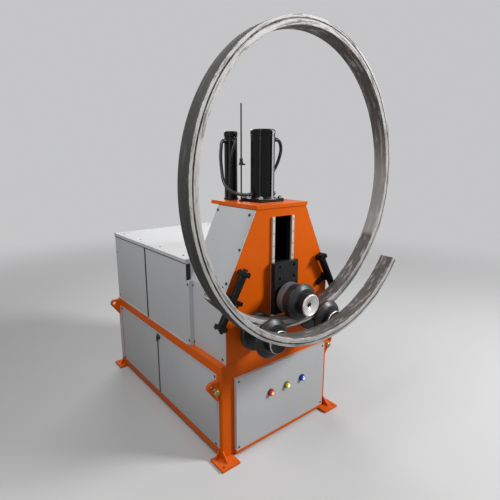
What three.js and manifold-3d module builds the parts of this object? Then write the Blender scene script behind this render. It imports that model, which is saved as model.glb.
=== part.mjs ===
import * as THREE from 'three';
import { mergeVertices } from 'three/addons/utils/BufferGeometryUtils.js';
import Module from 'manifold-3d';

const wasm = await Module();
wasm.setup();

// Hydraulic pipe rolling machine with a section bent into a ring between its rollers.
// Millimetres, +Z up, front towards -Y. While it is drawn, X = 0 is the middle of the machine,
// Y = 0 is the face of the front plate and Z = 0 is the floor. The last lines move the whole
// machine so that the origin lies on the floor under the middle of its overall box.

// Clearances
const SEAT = 0.3;
const RUNNING = 0.4;

// Base frame
const FRAME_WIDTH = 800;
const FRAME_DEPTH = 1320;
const BASE_RAIL_BOTTOM = 22;
const BASE_RAIL_HEIGHT = 40;
const MID_RAIL_BOTTOM = 486;
const MID_RAIL_HEIGHT = 48;
const RAIL_WIDTH = 40;
const RAIL_INSET = 1;
const FRONT_POST_WIDTH = 100;
const FRONT_POST_DEPTH = 36;
const FRONT_POST_RADIUS = 14;
const REAR_POST_SIZE = 50;
const WELD = 2;

// Feet and lifting lugs
const FOOT_SIZE = 112;
const FOOT_THICKNESS = 12;
const FOOT_OVERHANG = 44;
const FOOT_FRONT_OVERHANG = 72;
const FOOT_HOLE_RADIUS = 7;
const FOOT_HOLE_INSET = 22;
const GUSSET_HEIGHT = 46;
const GUSSET_THICKNESS = 8;
const GUSSET_TIP = 4;
const GUSSET_SHARE = 0.62;
const LUG_REACH = 66;
const LUG_HEIGHT = 110;
const LUG_THICKNESS = 20;
const LUG_NOSE_RADIUS = 26;
const LUG_HOLE_RADIUS = 12;
const LUG_FRONT_DROP = 28;
const LUG_REAR_DROP = 2;
const LUG_EDGE = 12;

// Roller head
const HEAD_DEPTH = 320;
const HEAD_MARGIN = 64;
const HEAD_TOP_HALF = 172;
const SHOULDER_RISE = 76;
const SHOULDER_INSET = 38;
const PLATE_THICKNESS = 30;
const PLATE_SKIRT = 46;
const TOP_PLATE_THICKNESS = 20;
const TOP_PLATE_OVERHANG = 6;
const TOP_PLATE_SHELF = 66;
const COVER_SHEET = 3;
const COVER_DROP = 4;
const CROSS_RAIL_WIDTH = 50;
const SLOT_WIDTH = 120;
const SLOT_RISE = 423;
const SLOT_DROP = 107;
const GIB_WIDTH = 16;
const GIB_THICKNESS = 12;

// Upper cabinet
const CABINET_HEIGHT = 486;
const CABINET_INSET = 8;
const CABINET_SPLIT = 824;
const PANEL_GAP = 4;
const PAN_DEPTH = 16;
const SHEET = 3;
const LID_LIP = 20;

// Lower doors, panels and latch
const DOOR_SPLIT = 688;
const DOOR_THICKNESS = 20;
const DOOR_GAP = 4;
const DOOR_EDGE_GAP = 3;
const DOOR_PIN_RADIUS = 4;
const DOOR_PIN_INSET = 11;
const DOOR_PIN_LENGTH = 16;
const DOOR_PIN_CLEARANCE = 0.5;
const HINGE_BLOCK = 26;
const HINGE_EDGE_CHAMFER = 3;
const LATCH_RADIUS = 12;
const LATCH_SPINDLE_RADIUS = 5;
const LATCH_DROP = 24;
const LATCH_BAR = 6;
const LATCH_CAM = 5;
const LATCH_STEM = 23;
const LATCH_INSET = 20;

// Control panel and pilot lamps
const PANEL_LEFT_INSET = 84;
const PANEL_RIGHT_INSET = 45;
const PANEL_LIFT = 10;
const PANEL_DROP = 36;
const PANEL_DEPTH = 20;
const LAMP_DROP = 162;
const LAMP_SPACING = 122;
const LAMP_SHIFT = 19.5;
const LAMP_BEZEL_RADIUS = 20;
const LAMP_LENS_RADIUS = 15;
const LAMP_BARREL_RADIUS = 11;
const LAMP_BEZEL_HEIGHT = 8;
const LAMP_BEZEL_EDGE = 3;
const LAMP_LENS_HEIGHT = 14;
const LAMP_LENS_CROWN = 6;

// Bent section: an 80 by 40 profile in a ring of a little more than one turn
const RING_OUTER_RADIUS = 693;
const SECTION_THICKNESS = 40;
const SECTION_WIDTH = 80;
const SECTION_GROOVE_DEPTH = 3;
const SECTION_GROOVE_WIDTH = 4;
const SECTION_GROOVE_INSET = 13;
const SECTION_CHAMFER = 2;
const SECTION_WALL = 6;
const PASS_RISE = 210;
const START_ANGLE = -50;
const END_ANGLE = 415;
const RING_GROWTH = 27.5;
const GROWTH_START = 38;
const GROWTH_END = 90;
const DRIFT_START = 68;
const DRIFT_END = 305;
const STEP_ANGLE = 5;
const LOOP_CLEARANCE = 18;

// Rollers: distances in front of the plate are given as positive reaches
const SECTION_REAR_REACH = 60;
const SIDE_CLEARANCE = 2;
const FLANGE_THICKNESS = 28;
const FRONT_FLANGE_THICKNESS = 33;
const FLANGE_EDGE = 4;
const FLANGE_THROAT = 6;
const FRONT_EDGE = 8;
const LOWER_SPACING = 203;
const LOWER_GROOVE_RADIUS = 42;
const LOWER_FLANGE_RADIUS = 99;
const TOP_ROLL_RADIUS = 84;
const TOP_FLANGE_RADIUS = 97;
const TOP_UNDERCUT = 8;
const TOP_UNDERCUT_WIDTH = 5;
const TOP_COLLAR_RADIUS = 60;
const SHAFT_RADIUS = 30;
const HUB_RADIUS = 57;
const HUB_NOSE_RADIUS = 44;
const HUB_RIM = 8;
const HUB_LENGTH = 36;
const HUB_DISH_RADIUS = 34;
const HUB_DISH_DEPTH = 12;
const HUB_BORE_RADIUS = 9;
const HUB_BORE_DEPTH = 26;
const NIP_UPPER = 1.0;
const NIP_LOWER = 0.5;
const BEARING_FLANGE_RADIUS = 72;
const BEARING_SPIGOT_RADIUS = 50;
const BEARING_FLANGE_THICKNESS = 26;
const BEARING_SLOPE = 14;
const BEARING_RIM = 18;
const BEARING_TAIL = 4;

// Ram, slide and main cylinder
const CYLINDER_FROM_REAR = 160;
const BARREL_RADIUS = 64;
const BARREL_BORE_RADIUS = 50;
const BARREL_LENGTH = 318;
const CYLINDER_FLANGE = 166;
const CYLINDER_FLANGE_THICKNESS = 18;
const CYLINDER_CAP_HEIGHT = 34;
const CYLINDER_CAP_RADIUS = 66;
const CYLINDER_CAP_STEP = 6;
const CYLINDER_NUT_RADIUS = 12;
const CYLINDER_NUT_INSET = 16;
const CYLINDER_NUT_HEIGHT = 12;
const PORT_RADIUS = 11;
const PORT_REACH = 26;
const PORT_LOW_REACH = 22;
const PORT_SIDE_REACH = 14;
const PORT_DROP = 14;
const PORT_LIFT = 20;
const RAM_RADIUS = 32;
const PISTON_HEIGHT = 40;
const SLIDE_RISE = 190;
const SLIDE_DROP = 85;
const SLIDE_PLATE_THICKNESS = 29;
const SLIDE_PLATE_SIDE = 24;
const CARRIAGE_HALF = 120;
const CARRIAGE_REAR_GAP = 40;
const CARRIAGE_STEP = 11;
const SLIDE_BOLT_RADIUS = 11;
const SLIDE_BOLT_HALF = 52;
const SLIDE_BOLT_DEPTH = 14;
const SLIDE_BOLT_UPPER = 24;
const SLIDE_BOLT_LOWER = 85;
const PIPE_RADIUS = 5;
const PIPE_ANGLE = 84;
const HOSE_RADIUS = 9;
const STROKE_ROD_RADIUS = 4;
const STROKE_ROD_SIDE = 100;
const STROKE_ROD_FROM_REAR = 105;
const STROKE_ROD_RISE = 497;
const STROKE_COLLAR_RISE = 189;
const STROKE_COLLAR_HEIGHT = 36;
const STROKE_COLLAR_RADIUS = 13;
const STROKE_POINTER = 26;

// Slim return cylinder behind the main one
const RETURN_SIDE = 75;
const RETURN_SHELF = 20;
const RETURN_RADIUS = 36;
const RETURN_LENGTH = 338;
const RETURN_CAP_HEIGHT = 28;
const RETURN_CAP_LIP = 1.5;
const RETURN_FOOT_LIP = 4;
const RETURN_FOOT_HEIGHT = 12;
const RETURN_PORT_RADIUS = 9;
const RETURN_PORT_REACH = 12;
const RETURN_PORT_DROP = 24;
const RETURN_PORT_BACK = 8;
const RETURN_PORT_SIDE = 14;

// Side support cylinders on the slanted edges of the front plate
const SUPPORT_ANGLE = 30;
const SUPPORT_INSET = 16;
const SUPPORT_DROP = 25;
const SUPPORT_LENGTH = 298;
const SUPPORT_REACH = 32;
const SUPPORT_BARREL_RADIUS = 20;
const SUPPORT_CAP = 48;
const SUPPORT_CAP_LENGTH = 22;
const SUPPORT_ROD_RADIUS = 9;
const SUPPORT_STROKE = 80;
const SUPPORT_ARM = 84;
const SUPPORT_ARM_HALF = 11;
const SUPPORT_ARM_THICKNESS = 18;
const SUPPORT_SADDLE_HALF = 20;
const SUPPORT_WALL = 4;
const SUPPORT_PORT_RADIUS = 9;
const SUPPORT_PORT_LENGTH = 16;
const SUPPORT_PORT_INSET = 12;
const SUPPORT_PISTON_HEIGHT = 24;
const SUPPORT_NUT_RADIUS = 14;
const SUPPORT_NUT_HEIGHT = 10;
const SUPPORT_NUT_LIFT = 4;

// Drives and power pack
const DRIVE_RADIUS = 74;
const DRIVE_LENGTH = 150;
const MOTOR_RADIUS = 52;
const MOTOR_LENGTH = 130;
const MOTOR_EDGE = 6;
const DRIVE_FLANGE = 24;
const DRIVE_STEP = 12;
const DRIVE_SOCKET = 32;
const CARRIAGE_BORE = 120;
const TANK_WIDTH = 300;
const TANK_DEPTH = 400;
const TANK_HEIGHT = 240;
const TANK_INSET = 30;
const TANK_REAR_GAP = 60;
const TANK_LIP = 10;
const TANK_LID = 6;
const PUMP_RADIUS = 80;
const PUMP_HEIGHT = 150;
const PUMP_FLANGE = 12;
const PUMP_STEP = 14;

// Sizes that follow from the ones above
const frameHalf = FRAME_WIDTH / 2;
const baseRailTop = BASE_RAIL_BOTTOM + BASE_RAIL_HEIGHT;
const midRailTop = MID_RAIL_BOTTOM + MID_RAIL_HEIGHT;
const cabinetHalf = frameHalf - CABINET_INSET;
const cabinetTop = midRailTop + CABINET_HEIGHT;
const ringInnerRadius = RING_OUTER_RADIUS - SECTION_THICKNESS;
const passHeight = midRailTop + PASS_RISE;
const ringCentre = passHeight + ringInnerRadius;
const sectionFrontReach = SECTION_REAR_REACH + SECTION_WIDTH;
const rearFlangeFace = SECTION_REAR_REACH - SIDE_CLEARANCE;
const frontFlangeFace = sectionFrontReach + SIDE_CLEARANCE;
const rollerFrontReach = frontFlangeFace + FRONT_FLANGE_THICKNESS;
const hubFrontReach = rollerFrontReach + HUB_LENGTH;
const topRollHeight = passHeight + NIP_UPPER + TOP_ROLL_RADIUS;
const lowerCentreDistance = RING_OUTER_RADIUS + NIP_LOWER + LOWER_GROOVE_RADIUS;
const lowerRollHeight =
  ringCentre - Math.sqrt(lowerCentreDistance ** 2 - LOWER_SPACING ** 2);
const loopShift = hubFrontReach + LOOP_CLEARANCE - SECTION_REAR_REACH;
const slideRearReach = GIB_THICKNESS + SEAT;
const slideFrontReach = slideRearReach + SLIDE_PLATE_THICKNESS;
const slotTop = topRollHeight + SLOT_RISE;
const slotBottom = topRollHeight - SLOT_DROP;
const slideTop = topRollHeight + SLIDE_RISE;
const slideBottom = topRollHeight - SLIDE_DROP;
const carriageTop = slideTop - CARRIAGE_STEP;
const headTop = slotTop + HEAD_MARGIN;
const headPlateTop = headTop - TOP_PLATE_THICKNESS;
const shoulderHeight = topRollHeight + SHOULDER_RISE;
const shoulderHalf = frameHalf - SHOULDER_INSET;
const cylinderY = HEAD_DEPTH - CYLINDER_FROM_REAR;
const flangeTop = headTop + CYLINDER_FLANGE_THICKNESS;
const strokeRodY = HEAD_DEPTH - STROKE_ROD_FROM_REAR;
const returnX = -RETURN_SIDE;
const returnY = HEAD_DEPTH + RETURN_SHELF;
const barrelTop = flangeTop + BARREL_LENGTH;

// Finishes
function finish(color, roughness, metalness) {
  return new THREE.MeshStandardMaterial({ color, roughness, metalness });
}
const orangePaint = () => finish(0xd0600c, 0.45, 0.0);
const greyPaint = () => finish(0xb9bbbd, 0.5, 0.0);
const blackPaint = () => finish(0x161618, 0.35, 0.2);
const darkSteel = () => finish(0x2b2c2e, 0.4, 0.8);
const brightSteel = () => finish(0xc8c8c6, 0.25, 1.0);
const rolledSteel = () => finish(0x8d8a86, 0.5, 0.8);
const rubber = () => finish(0x111111, 0.7, 0.0);

// Solids
function toSolid(shape) {
  if (!(shape instanceof THREE.BufferGeometry)) {
    return shape;
  }
  const bare = shape.clone();
  bare.deleteAttribute('normal');
  bare.deleteAttribute('uv');
  const welded = mergeVertices(bare, 1e-3);
  const kept = [];
  const index = welded.index.array;
  for (let i = 0; i < index.length; i += 3) {
    const [a, b, c] = [index[i], index[i + 1], index[i + 2]];
    if (a !== b && b !== c && c !== a) {
      kept.push(a, b, c);
    }
  }
  return new wasm.Manifold(new wasm.Mesh({
    numProp: 3,
    vertProperties: new Float32Array(welded.attributes.position.array),
    triVerts: new Uint32Array(kept),
  }));
}

function toGeometry(solid) {
  const mesh = solid.getMesh();
  const geometry = new THREE.BufferGeometry();
  geometry.setAttribute('position', new THREE.BufferAttribute(mesh.vertProperties, 3));
  geometry.setIndex(new THREE.BufferAttribute(mesh.triVerts, 1));
  geometry.computeVertexNormals();
  return geometry;
}

function join(...pieces) {
  return pieces.map(toSolid).reduce((whole, piece) => whole.add(piece));
}

function cut(whole, ...tools) {
  return tools.reduce((rest, tool) => rest.subtract(toSolid(tool)), whole);
}

// A box between two corners
function block(x0, x1, y0, y1, z0, z1) {
  const geometry = new THREE.BoxGeometry(x1 - x0, y1 - y0, z1 - z0);
  geometry.translate((x0 + x1) / 2, (y0 + y1) / 2, (z0 + z1) / 2);
  return geometry;
}

// A round bar along Y between two depths
function barY(radius, x, z, y0, y1, sides = 32) {
  const geometry = new THREE.CylinderGeometry(radius, radius, y1 - y0, sides);
  geometry.translate(x, (y0 + y1) / 2, z);
  return geometry;
}

// A round bar along Z between two heights
function barZ(radius, x, y, z0, z1, sides = 32) {
  const geometry = new THREE.CylinderGeometry(radius, radius, z1 - z0, sides);
  geometry.rotateX(Math.PI / 2);
  geometry.translate(x, y, (z0 + z1) / 2);
  return geometry;
}

// A round bar along X between two sides
function barX(radius, y, z, x0, x1, sides = 24) {
  const geometry = new THREE.CylinderGeometry(radius, radius, x1 - x0, sides);
  geometry.rotateZ(Math.PI / 2);
  geometry.translate((x0 + x1) / 2, y, z);
  return geometry;
}

// A flat outline in X and Z, made thick along Y between two depths
function plateXZ(outline, y0, y1) {
  const shape = outline instanceof THREE.Shape ? outline : new THREE.Shape(outline);
  const geometry = new THREE.ExtrudeGeometry(shape, {
    depth: y1 - y0, bevelEnabled: false, curveSegments: 10,
  });
  geometry.rotateX(Math.PI / 2);
  geometry.translate(0, y1, 0);
  return geometry;
}

// A revolved piece about a line along Y, from [radius, reach in front of the plate] pairs
function turnedY(profile, x, z, sides = 40) {
  const points = profile.map(([radius, reach]) => new THREE.Vector2(radius, reach));
  const geometry = new THREE.LatheGeometry([...points, points[0]], sides);
  geometry.rotateX(Math.PI);
  geometry.translate(x, 0, z);
  return geometry;
}

// A sheet pan: a flat face with a return flange all round, open on its inner side.
// side is the direction its face looks along X
function sidePan(side, outerX, depth, y0, y1, z0, z1) {
  const innerX = outerX - side * depth;
  const skinX = outerX - side * SHEET;
  const outside = block(Math.min(outerX, innerX), Math.max(outerX, innerX), y0, y1, z0, z1);
  const beyond = innerX - side;
  const inside = block(
    Math.min(skinX, beyond), Math.max(skinX, beyond),
    y0 + SHEET, y1 - SHEET, z0 + SHEET, z1 - SHEET,
  );
  return cut(toSolid(outside), inside);
}

// The outline of a bent sheet that follows a line of points at a distance outside it
function bentSheet(points, gap, thickness) {
  const offset = (distance) => points.map(([x, z], i) => {
    const before = points[Math.max(i - 1, 0)];
    const after = points[Math.min(i + 1, points.length - 1)];
    const legs = [];
    if (i > 0) {
      legs.push(new THREE.Vector2(x - before[0], z - before[1]).normalize());
    }
    if (i < points.length - 1) {
      legs.push(new THREE.Vector2(after[0] - x, after[1] - z).normalize());
    }
    const normals = legs.map((leg) => new THREE.Vector2(-leg.y, leg.x));
    const middle = normals.reduce((sum, n) => sum.clone().add(n)).normalize();
    const reach = distance / middle.dot(normals[0]);
    return new THREE.Vector2(x + middle.x * reach, z + middle.y * reach);
  });
  return [...offset(gap), ...offset(gap + thickness).reverse()];
}

// A round hose or pipe along a smooth line through points
function hose(points, radius, steps, sides = 8) {
  const path = new THREE.CatmullRomCurve3(points.map((p) => new THREE.Vector3(...p)));
  const section = new THREE.Shape();
  for (let i = 0; i < sides; i += 1) {
    const turn = (i / sides) * Math.PI * 2;
    const [x, y] = [radius * Math.cos(turn), radius * Math.sin(turn)];
    if (i === 0) {
      section.moveTo(x, y);
    } else {
      section.lineTo(x, y);
    }
  }
  section.closePath();
  return new THREE.ExtrudeGeometry(section, { steps, extrudePath: path, bevelEnabled: false });
}

// The machine
const machine = new THREE.Group();

function add(name, shape, material, parent = machine) {
  const mesh = new THREE.Mesh(toGeometry(toSolid(shape)), material);
  mesh.name = name;
  parent.add(mesh);
  return mesh;
}

// Welded base frame with the door pins
const doorFront = FRONT_POST_DEPTH + DOOR_EDGE_GAP;
const doorRear = FRAME_DEPTH - REAR_POST_SIZE - DOOR_EDGE_GAP;
const doorBottom = baseRailTop + DOOR_GAP;
const doorTop = MID_RAIL_BOTTOM - DOOR_GAP;
const doorPinX = -frameHalf + DOOR_THICKNESS / 2;
const doorPins = [doorFront + DOOR_PIN_INSET, doorRear - DOOR_PIN_INSET];
const crossRailRear = HEAD_DEPTH + PLATE_THICKNESS / 2;

function frontPost(side) {
  const outline = new THREE.Shape();
  const inner = frameHalf - FRONT_POST_WIDTH;
  outline.moveTo(inner, 0);
  outline.lineTo(frameHalf - FRONT_POST_RADIUS, 0);
  outline.absarc(
    frameHalf - FRONT_POST_RADIUS, FRONT_POST_RADIUS, FRONT_POST_RADIUS, -Math.PI / 2, 0, false,
  );
  outline.lineTo(frameHalf, FRONT_POST_DEPTH);
  outline.lineTo(inner, FRONT_POST_DEPTH);
  const post = new THREE.ExtrudeGeometry(outline, {
    depth: midRailTop - RAIL_INSET - FOOT_THICKNESS, bevelEnabled: false, curveSegments: 6,
  });
  post.translate(0, 0, FOOT_THICKNESS);
  return side > 0 ? toSolid(post) : toSolid(post).mirror([1, 0, 0]);
}

// One level of rails as a closed frame; openings are its [front, rear] holes along Y
function railRing(bottom, top, frontY, corner, openings) {
  const outer = frameHalf - RAIL_INSET;
  const inner = frameHalf - RAIL_WIDTH;
  const rear = FRAME_DEPTH - RAIL_INSET;
  const corners = [
    [corner - outer, frontY], [outer - corner, frontY], [outer, frontY + corner],
    [outer, rear], [-outer, rear], [-outer, frontY + corner],
  ];
  const shape = new THREE.Shape(corners.map(([x, y]) => new THREE.Vector2(x, y)));
  for (const [y0, y1] of openings) {
    const hole = [[-inner, y0], [-inner, y1], [inner, y1], [inner, y0]];
    shape.holes.push(new THREE.Path(hole.map(([x, y]) => new THREE.Vector2(x, y))));
  }
  const ring = new THREE.ExtrudeGeometry(shape, { depth: top - bottom, bevelEnabled: false });
  ring.translate(0, 0, bottom);
  return ring;
}

function baseFrame() {
  const rear = FRAME_DEPTH - REAR_POST_SIZE;
  const rearPosts = [-1, 1].map((side) => block(
    side > 0 ? frameHalf - REAR_POST_SIZE : -frameHalf,
    side > 0 ? frameHalf : REAR_POST_SIZE - frameHalf,
    rear, FRAME_DEPTH, FOOT_THICKNESS, midRailTop - RAIL_INSET,
  ));
  const pins = doorPins.flatMap((y) => [
    barZ(DOOR_PIN_RADIUS, doorPinX, y, baseRailTop - WELD, doorBottom + DOOR_PIN_LENGTH, 12),
    barZ(DOOR_PIN_RADIUS, doorPinX, y, doorTop - DOOR_PIN_LENGTH, MID_RAIL_BOTTOM + WELD, 12),
  ]);
  return join(
    frontPost(1), frontPost(-1), ...rearPosts,
    railRing(
      BASE_RAIL_BOTTOM, baseRailTop, RAIL_INSET, FRONT_POST_RADIUS + RAIL_INSET,
      [[RAIL_WIDTH, FRAME_DEPTH - RAIL_WIDTH]],
    ),
    railRing(
      MID_RAIL_BOTTOM, midRailTop, PLATE_THICKNESS + SEAT, RAIL_INSET,
      [
        [PLATE_THICKNESS + SEAT + RAIL_WIDTH, crossRailRear - CROSS_RAIL_WIDTH],
        [crossRailRear, FRAME_DEPTH - RAIL_WIDTH],
      ],
    ),
    ...pins,
  );
}
add('base_frame', baseFrame(), orangePaint());

const trayHalf = frameHalf - DOOR_THICKNESS - RAIL_WIDTH / 4;
add(
  'floor_tray',
  block(-trayHalf, trayHalf, doorFront, doorRear, baseRailTop, baseRailTop + SHEET),
  greyPaint(),
);

// Feet: a plate under each post with two gussets
function foot(side, rear) {
  const outerX = frameHalf + FOOT_OVERHANG;
  const x0 = side > 0 ? outerX - FOOT_SIZE : -outerX;
  const y0 = rear ? FRAME_DEPTH + FOOT_OVERHANG - FOOT_SIZE : -FOOT_FRONT_OVERHANG;
  const holeX = side * (outerX - FOOT_HOLE_INSET);
  const holeY = rear ? y0 + FOOT_SIZE - FOOT_HOLE_INSET : y0 + FOOT_HOLE_INSET;
  const plate = block(x0, x0 + FOOT_SIZE, y0, y0 + FOOT_SIZE, 0, FOOT_THICKNESS);
  const rib = (root, reach) => {
    const shape = new THREE.Shape([
      new THREE.Vector2(0, FOOT_THICKNESS - WELD),
      new THREE.Vector2(reach, FOOT_THICKNESS - WELD),
      new THREE.Vector2(reach, FOOT_THICKNESS + GUSSET_TIP),
      new THREE.Vector2(GUSSET_TIP, GUSSET_HEIGHT + FOOT_THICKNESS),
      new THREE.Vector2(0, GUSSET_HEIGHT + FOOT_THICKNESS),
    ]);
    const web = new THREE.ExtrudeGeometry(shape, { depth: GUSSET_THICKNESS, bevelEnabled: false });
    web.rotateX(Math.PI / 2);
    web.translate(root, GUSSET_THICKNESS / 2, 0);
    return web;
  };
  const out = rear ? 1 : -1;
  const ahead = rib(SEAT, (rear ? FOOT_OVERHANG : FOOT_FRONT_OVERHANG) * GUSSET_SHARE);
  ahead.rotateZ((out * Math.PI) / 2);
  ahead.translate(side * (frameHalf - GUSSET_THICKNESS), rear ? FRAME_DEPTH : 0, 0);
  const beside = rib(SEAT, FOOT_OVERHANG * GUSSET_SHARE);
  beside.rotateZ(side > 0 ? 0 : Math.PI);
  beside.translate(side * frameHalf, rear ? FRAME_DEPTH - REAR_POST_SIZE / 2 : FRONT_POST_DEPTH / 2, 0);
  return cut(
    join(plate, ahead, beside),
    barZ(FOOT_HOLE_RADIUS, holeX, holeY, -WELD, FOOT_THICKNESS + WELD, 24),
  );
}
for (const rear of [false, true]) {
  for (const side of [-1, 1]) {
    const name = `foot_${rear ? 'rear' : 'front'}_${side < 0 ? 'left' : 'right'}`;
    add(name, foot(side, rear), orangePaint());
  }
}

// Lifting lugs: eye plates that stand out from the posts
function lug(side, top, y0) {
  const root = frameHalf + SEAT;
  const noseX = root + LUG_REACH - LUG_NOSE_RADIUS;
  const noseZ = top - LUG_NOSE_RADIUS;
  const shape = new THREE.Shape();
  shape.moveTo(root, top);
  shape.lineTo(root, top - LUG_HEIGHT);
  shape.lineTo(root + LUG_EDGE, top - LUG_HEIGHT);
  shape.lineTo(
    noseX + LUG_NOSE_RADIUS * Math.cos(-Math.PI / 6), noseZ + LUG_NOSE_RADIUS * Math.sin(-Math.PI / 6),
  );
  shape.absarc(noseX, noseZ, LUG_NOSE_RADIUS, -Math.PI / 6, Math.PI / 2, false);
  const hole = new THREE.Path();
  hole.absarc(noseX, noseZ, LUG_HOLE_RADIUS, 0, Math.PI * 2, true);
  shape.holes.push(hole);
  const plate = toSolid(plateXZ(shape, y0, y0 + LUG_THICKNESS));
  return side > 0 ? plate : plate.mirror([1, 0, 0]);
}
for (const side of [-1, 1]) {
  const hand = side < 0 ? 'left' : 'right';
  add(`lug_front_${hand}`, lug(side, MID_RAIL_BOTTOM - LUG_FRONT_DROP, FRONT_POST_RADIUS), orangePaint());
  add(
    `lug_rear_${hand}`,
    lug(side, midRailTop - LUG_REAR_DROP, FRAME_DEPTH - LUG_EDGE - LUG_THICKNESS), orangePaint(),
  );
}

// Roller head: front plate, rear plate, top plate, covers and gibs
const headOutline = [
  [HEAD_TOP_HALF, headPlateTop],
  [shoulderHalf, shoulderHeight],
  [shoulderHalf, midRailTop],
];

function mirrored(points) {
  return [...points, ...points.map(([x, z]) => [-x, z]).reverse()];
}

function frontPlate() {
  const foot = frameHalf - FRONT_POST_WIDTH - SEAT;
  const outline = mirrored([
    ...headOutline.slice(0, 2), [shoulderHalf, midRailTop + SEAT],
    [foot, midRailTop + SEAT], [foot, MID_RAIL_BOTTOM - PLATE_SKIRT],
  ]).map(([x, z]) => new THREE.Vector2(x, z));
  return cut(
    toSolid(plateXZ(outline, 0, PLATE_THICKNESS)),
    block(-SLOT_WIDTH / 2, SLOT_WIDTH / 2, -WELD, PLATE_THICKNESS + WELD, slotBottom, slotTop),
    ...[-1, 1].map((side) => barY(
      BEARING_SPIGOT_RADIUS + SEAT, side * LOWER_SPACING, lowerRollHeight, -WELD, PLATE_THICKNESS + WELD,
    )),
  );
}
add('front_plate', frontPlate(), orangePaint());

function rearPlate() {
  const outline = mirrored([...headOutline.slice(0, 2), [shoulderHalf, midRailTop + SEAT]])
    .map(([x, z]) => new THREE.Vector2(x, z));
  return cut(
    toSolid(plateXZ(outline, HEAD_DEPTH - PLATE_THICKNESS, HEAD_DEPTH)),
    ...[-1, 1].map((side) => barY(
      SHAFT_RADIUS + RUNNING, side * LOWER_SPACING, lowerRollHeight,
      HEAD_DEPTH - PLATE_THICKNESS - WELD, HEAD_DEPTH + WELD,
    )),
  );
}
add('rear_plate', rearPlate(), orangePaint());

function topPlate() {
  const half = HEAD_TOP_HALF + TOP_PLATE_OVERHANG;
  const front = -TOP_PLATE_OVERHANG;
  return cut(
    toSolid(block(-half, half, front, HEAD_DEPTH + TOP_PLATE_SHELF, headPlateTop + SEAT, headTop)),
    barZ(RAM_RADIUS + WELD, 0, cylinderY, headPlateTop - WELD, headTop + WELD),
    barZ(STROKE_ROD_RADIUS + RUNNING, -STROKE_ROD_SIDE, strokeRodY, headPlateTop - WELD, headTop + WELD, 12),
  );
}
add('head_top_plate', topPlate(), orangePaint());

const slantRun = (shoulderHalf - HEAD_TOP_HALF) / (headPlateTop - shoulderHeight);
const coverLine = [
  [HEAD_TOP_HALF + slantRun * COVER_DROP, headPlateTop - COVER_DROP],
  [shoulderHalf, shoulderHeight],
  [shoulderHalf, midRailTop + SEAT],
];
for (const side of [-1, 1]) {
  const sheet = toSolid(plateXZ(bentSheet(coverLine, SEAT, COVER_SHEET), SEAT, HEAD_DEPTH));
  add(`head_cover_${side < 0 ? 'left' : 'right'}`, side > 0 ? sheet : sheet.mirror([1, 0, 0]), greyPaint());
}

for (const side of [-1, 1]) {
  const inner = SLOT_WIDTH / 2;
  const strip = block(
    side > 0 ? inner : -inner - GIB_WIDTH, side > 0 ? inner + GIB_WIDTH : -inner,
    -GIB_THICKNESS, 0, slotBottom, slotTop,
  );
  add(`gib_${side < 0 ? 'left' : 'right'}`, strip, brightSteel());
}

// Upper cabinet: sheet pans on the mid rail under a lipped lid
const cabinetFront = HEAD_DEPTH + SEAT;
const cabinetRear = FRAME_DEPTH - SHEET;
const cabinetBottom = midRailTop + SEAT;
const panTop = cabinetTop - SHEET - SEAT;
const bulkheadRear = cabinetFront + SHEET;
const splitFront = CABINET_SPLIT - PANEL_GAP / 2;
const splitRear = CABINET_SPLIT + PANEL_GAP / 2;
add(
  'cabinet_panel_left_front',
  sidePan(-1, -cabinetHalf, PAN_DEPTH, cabinetFront, splitFront, cabinetBottom, panTop), greyPaint(),
);
add(
  'cabinet_panel_left_rear',
  sidePan(-1, -cabinetHalf, PAN_DEPTH, splitRear, cabinetRear, cabinetBottom, panTop), greyPaint(),
);
add(
  'cabinet_panel_right',
  sidePan(1, cabinetHalf, PAN_DEPTH, cabinetFront, cabinetRear, cabinetBottom, panTop), greyPaint(),
);
const backHalf = cabinetHalf - PAN_DEPTH - SEAT;
add(
  'cabinet_panel_rear',
  block(-backHalf, backHalf, cabinetRear - SHEET, cabinetRear, cabinetBottom, panTop), greyPaint(),
);
add('cabinet_bulkhead', cut(
  toSolid(block(-backHalf, backHalf, cabinetFront, bulkheadRear, cabinetBottom, panTop)),
  ...[-1, 1].map((side) => barY(
    DRIVE_RADIUS + WELD, side * LOWER_SPACING, lowerRollHeight, cabinetFront - WELD, bulkheadRear + WELD,
  )),
), greyPaint());

function cabinetLid() {
  const inside = cabinetHalf + SEAT;
  const outside = inside + SHEET;
  const rear = cabinetRear + SEAT;
  return cut(
    toSolid(block(-outside, outside, cabinetFront, rear + SHEET, cabinetTop - LID_LIP, cabinetTop)),
    block(-inside, inside, cabinetFront - WELD, rear, cabinetTop - LID_LIP - WELD, cabinetTop - SHEET),
  );
}
add('cabinet_lid', cabinetLid(), greyPaint());

// Lower side doors on corner pins, latch, fixed right side and rear panel
function doorLeaf(y0, y1, pinY) {
  const hingeEdge = pinY - y0 < y1 - pinY ? y0 : y1;
  const x0 = -frameHalf;
  const x1 = x0 + DOOR_THICKNESS;
  const pan = sidePan(-1, x0, DOOR_THICKNESS, y0, y1, doorBottom, doorTop);
  const blockY0 = Math.min(Math.max(pinY - HINGE_BLOCK / 2, y0), y1 - HINGE_BLOCK);
  const blocks = [doorBottom, doorTop - HINGE_BLOCK].map((z) => toSolid(
    block(x0 + SHEET / 2, x1, blockY0, blockY0 + HINGE_BLOCK, z, z + HINGE_BLOCK),
  ));
  const radius = DOOR_PIN_RADIUS + DOOR_PIN_CLEARANCE;
  const depth = DOOR_PIN_LENGTH + DOOR_PIN_CLEARANCE;
  return cut(
    blocks.reduce((whole, piece) => whole.add(piece), pan),
    barZ(radius, doorPinX, pinY, doorBottom - WELD, doorBottom + depth, 12),
    barZ(radius, doorPinX, pinY, doorTop - depth, doorTop + WELD, 12),
    barZ(HINGE_EDGE_CHAMFER, x0, hingeEdge, doorBottom - WELD, doorTop + WELD, 4),
  );
}
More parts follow.
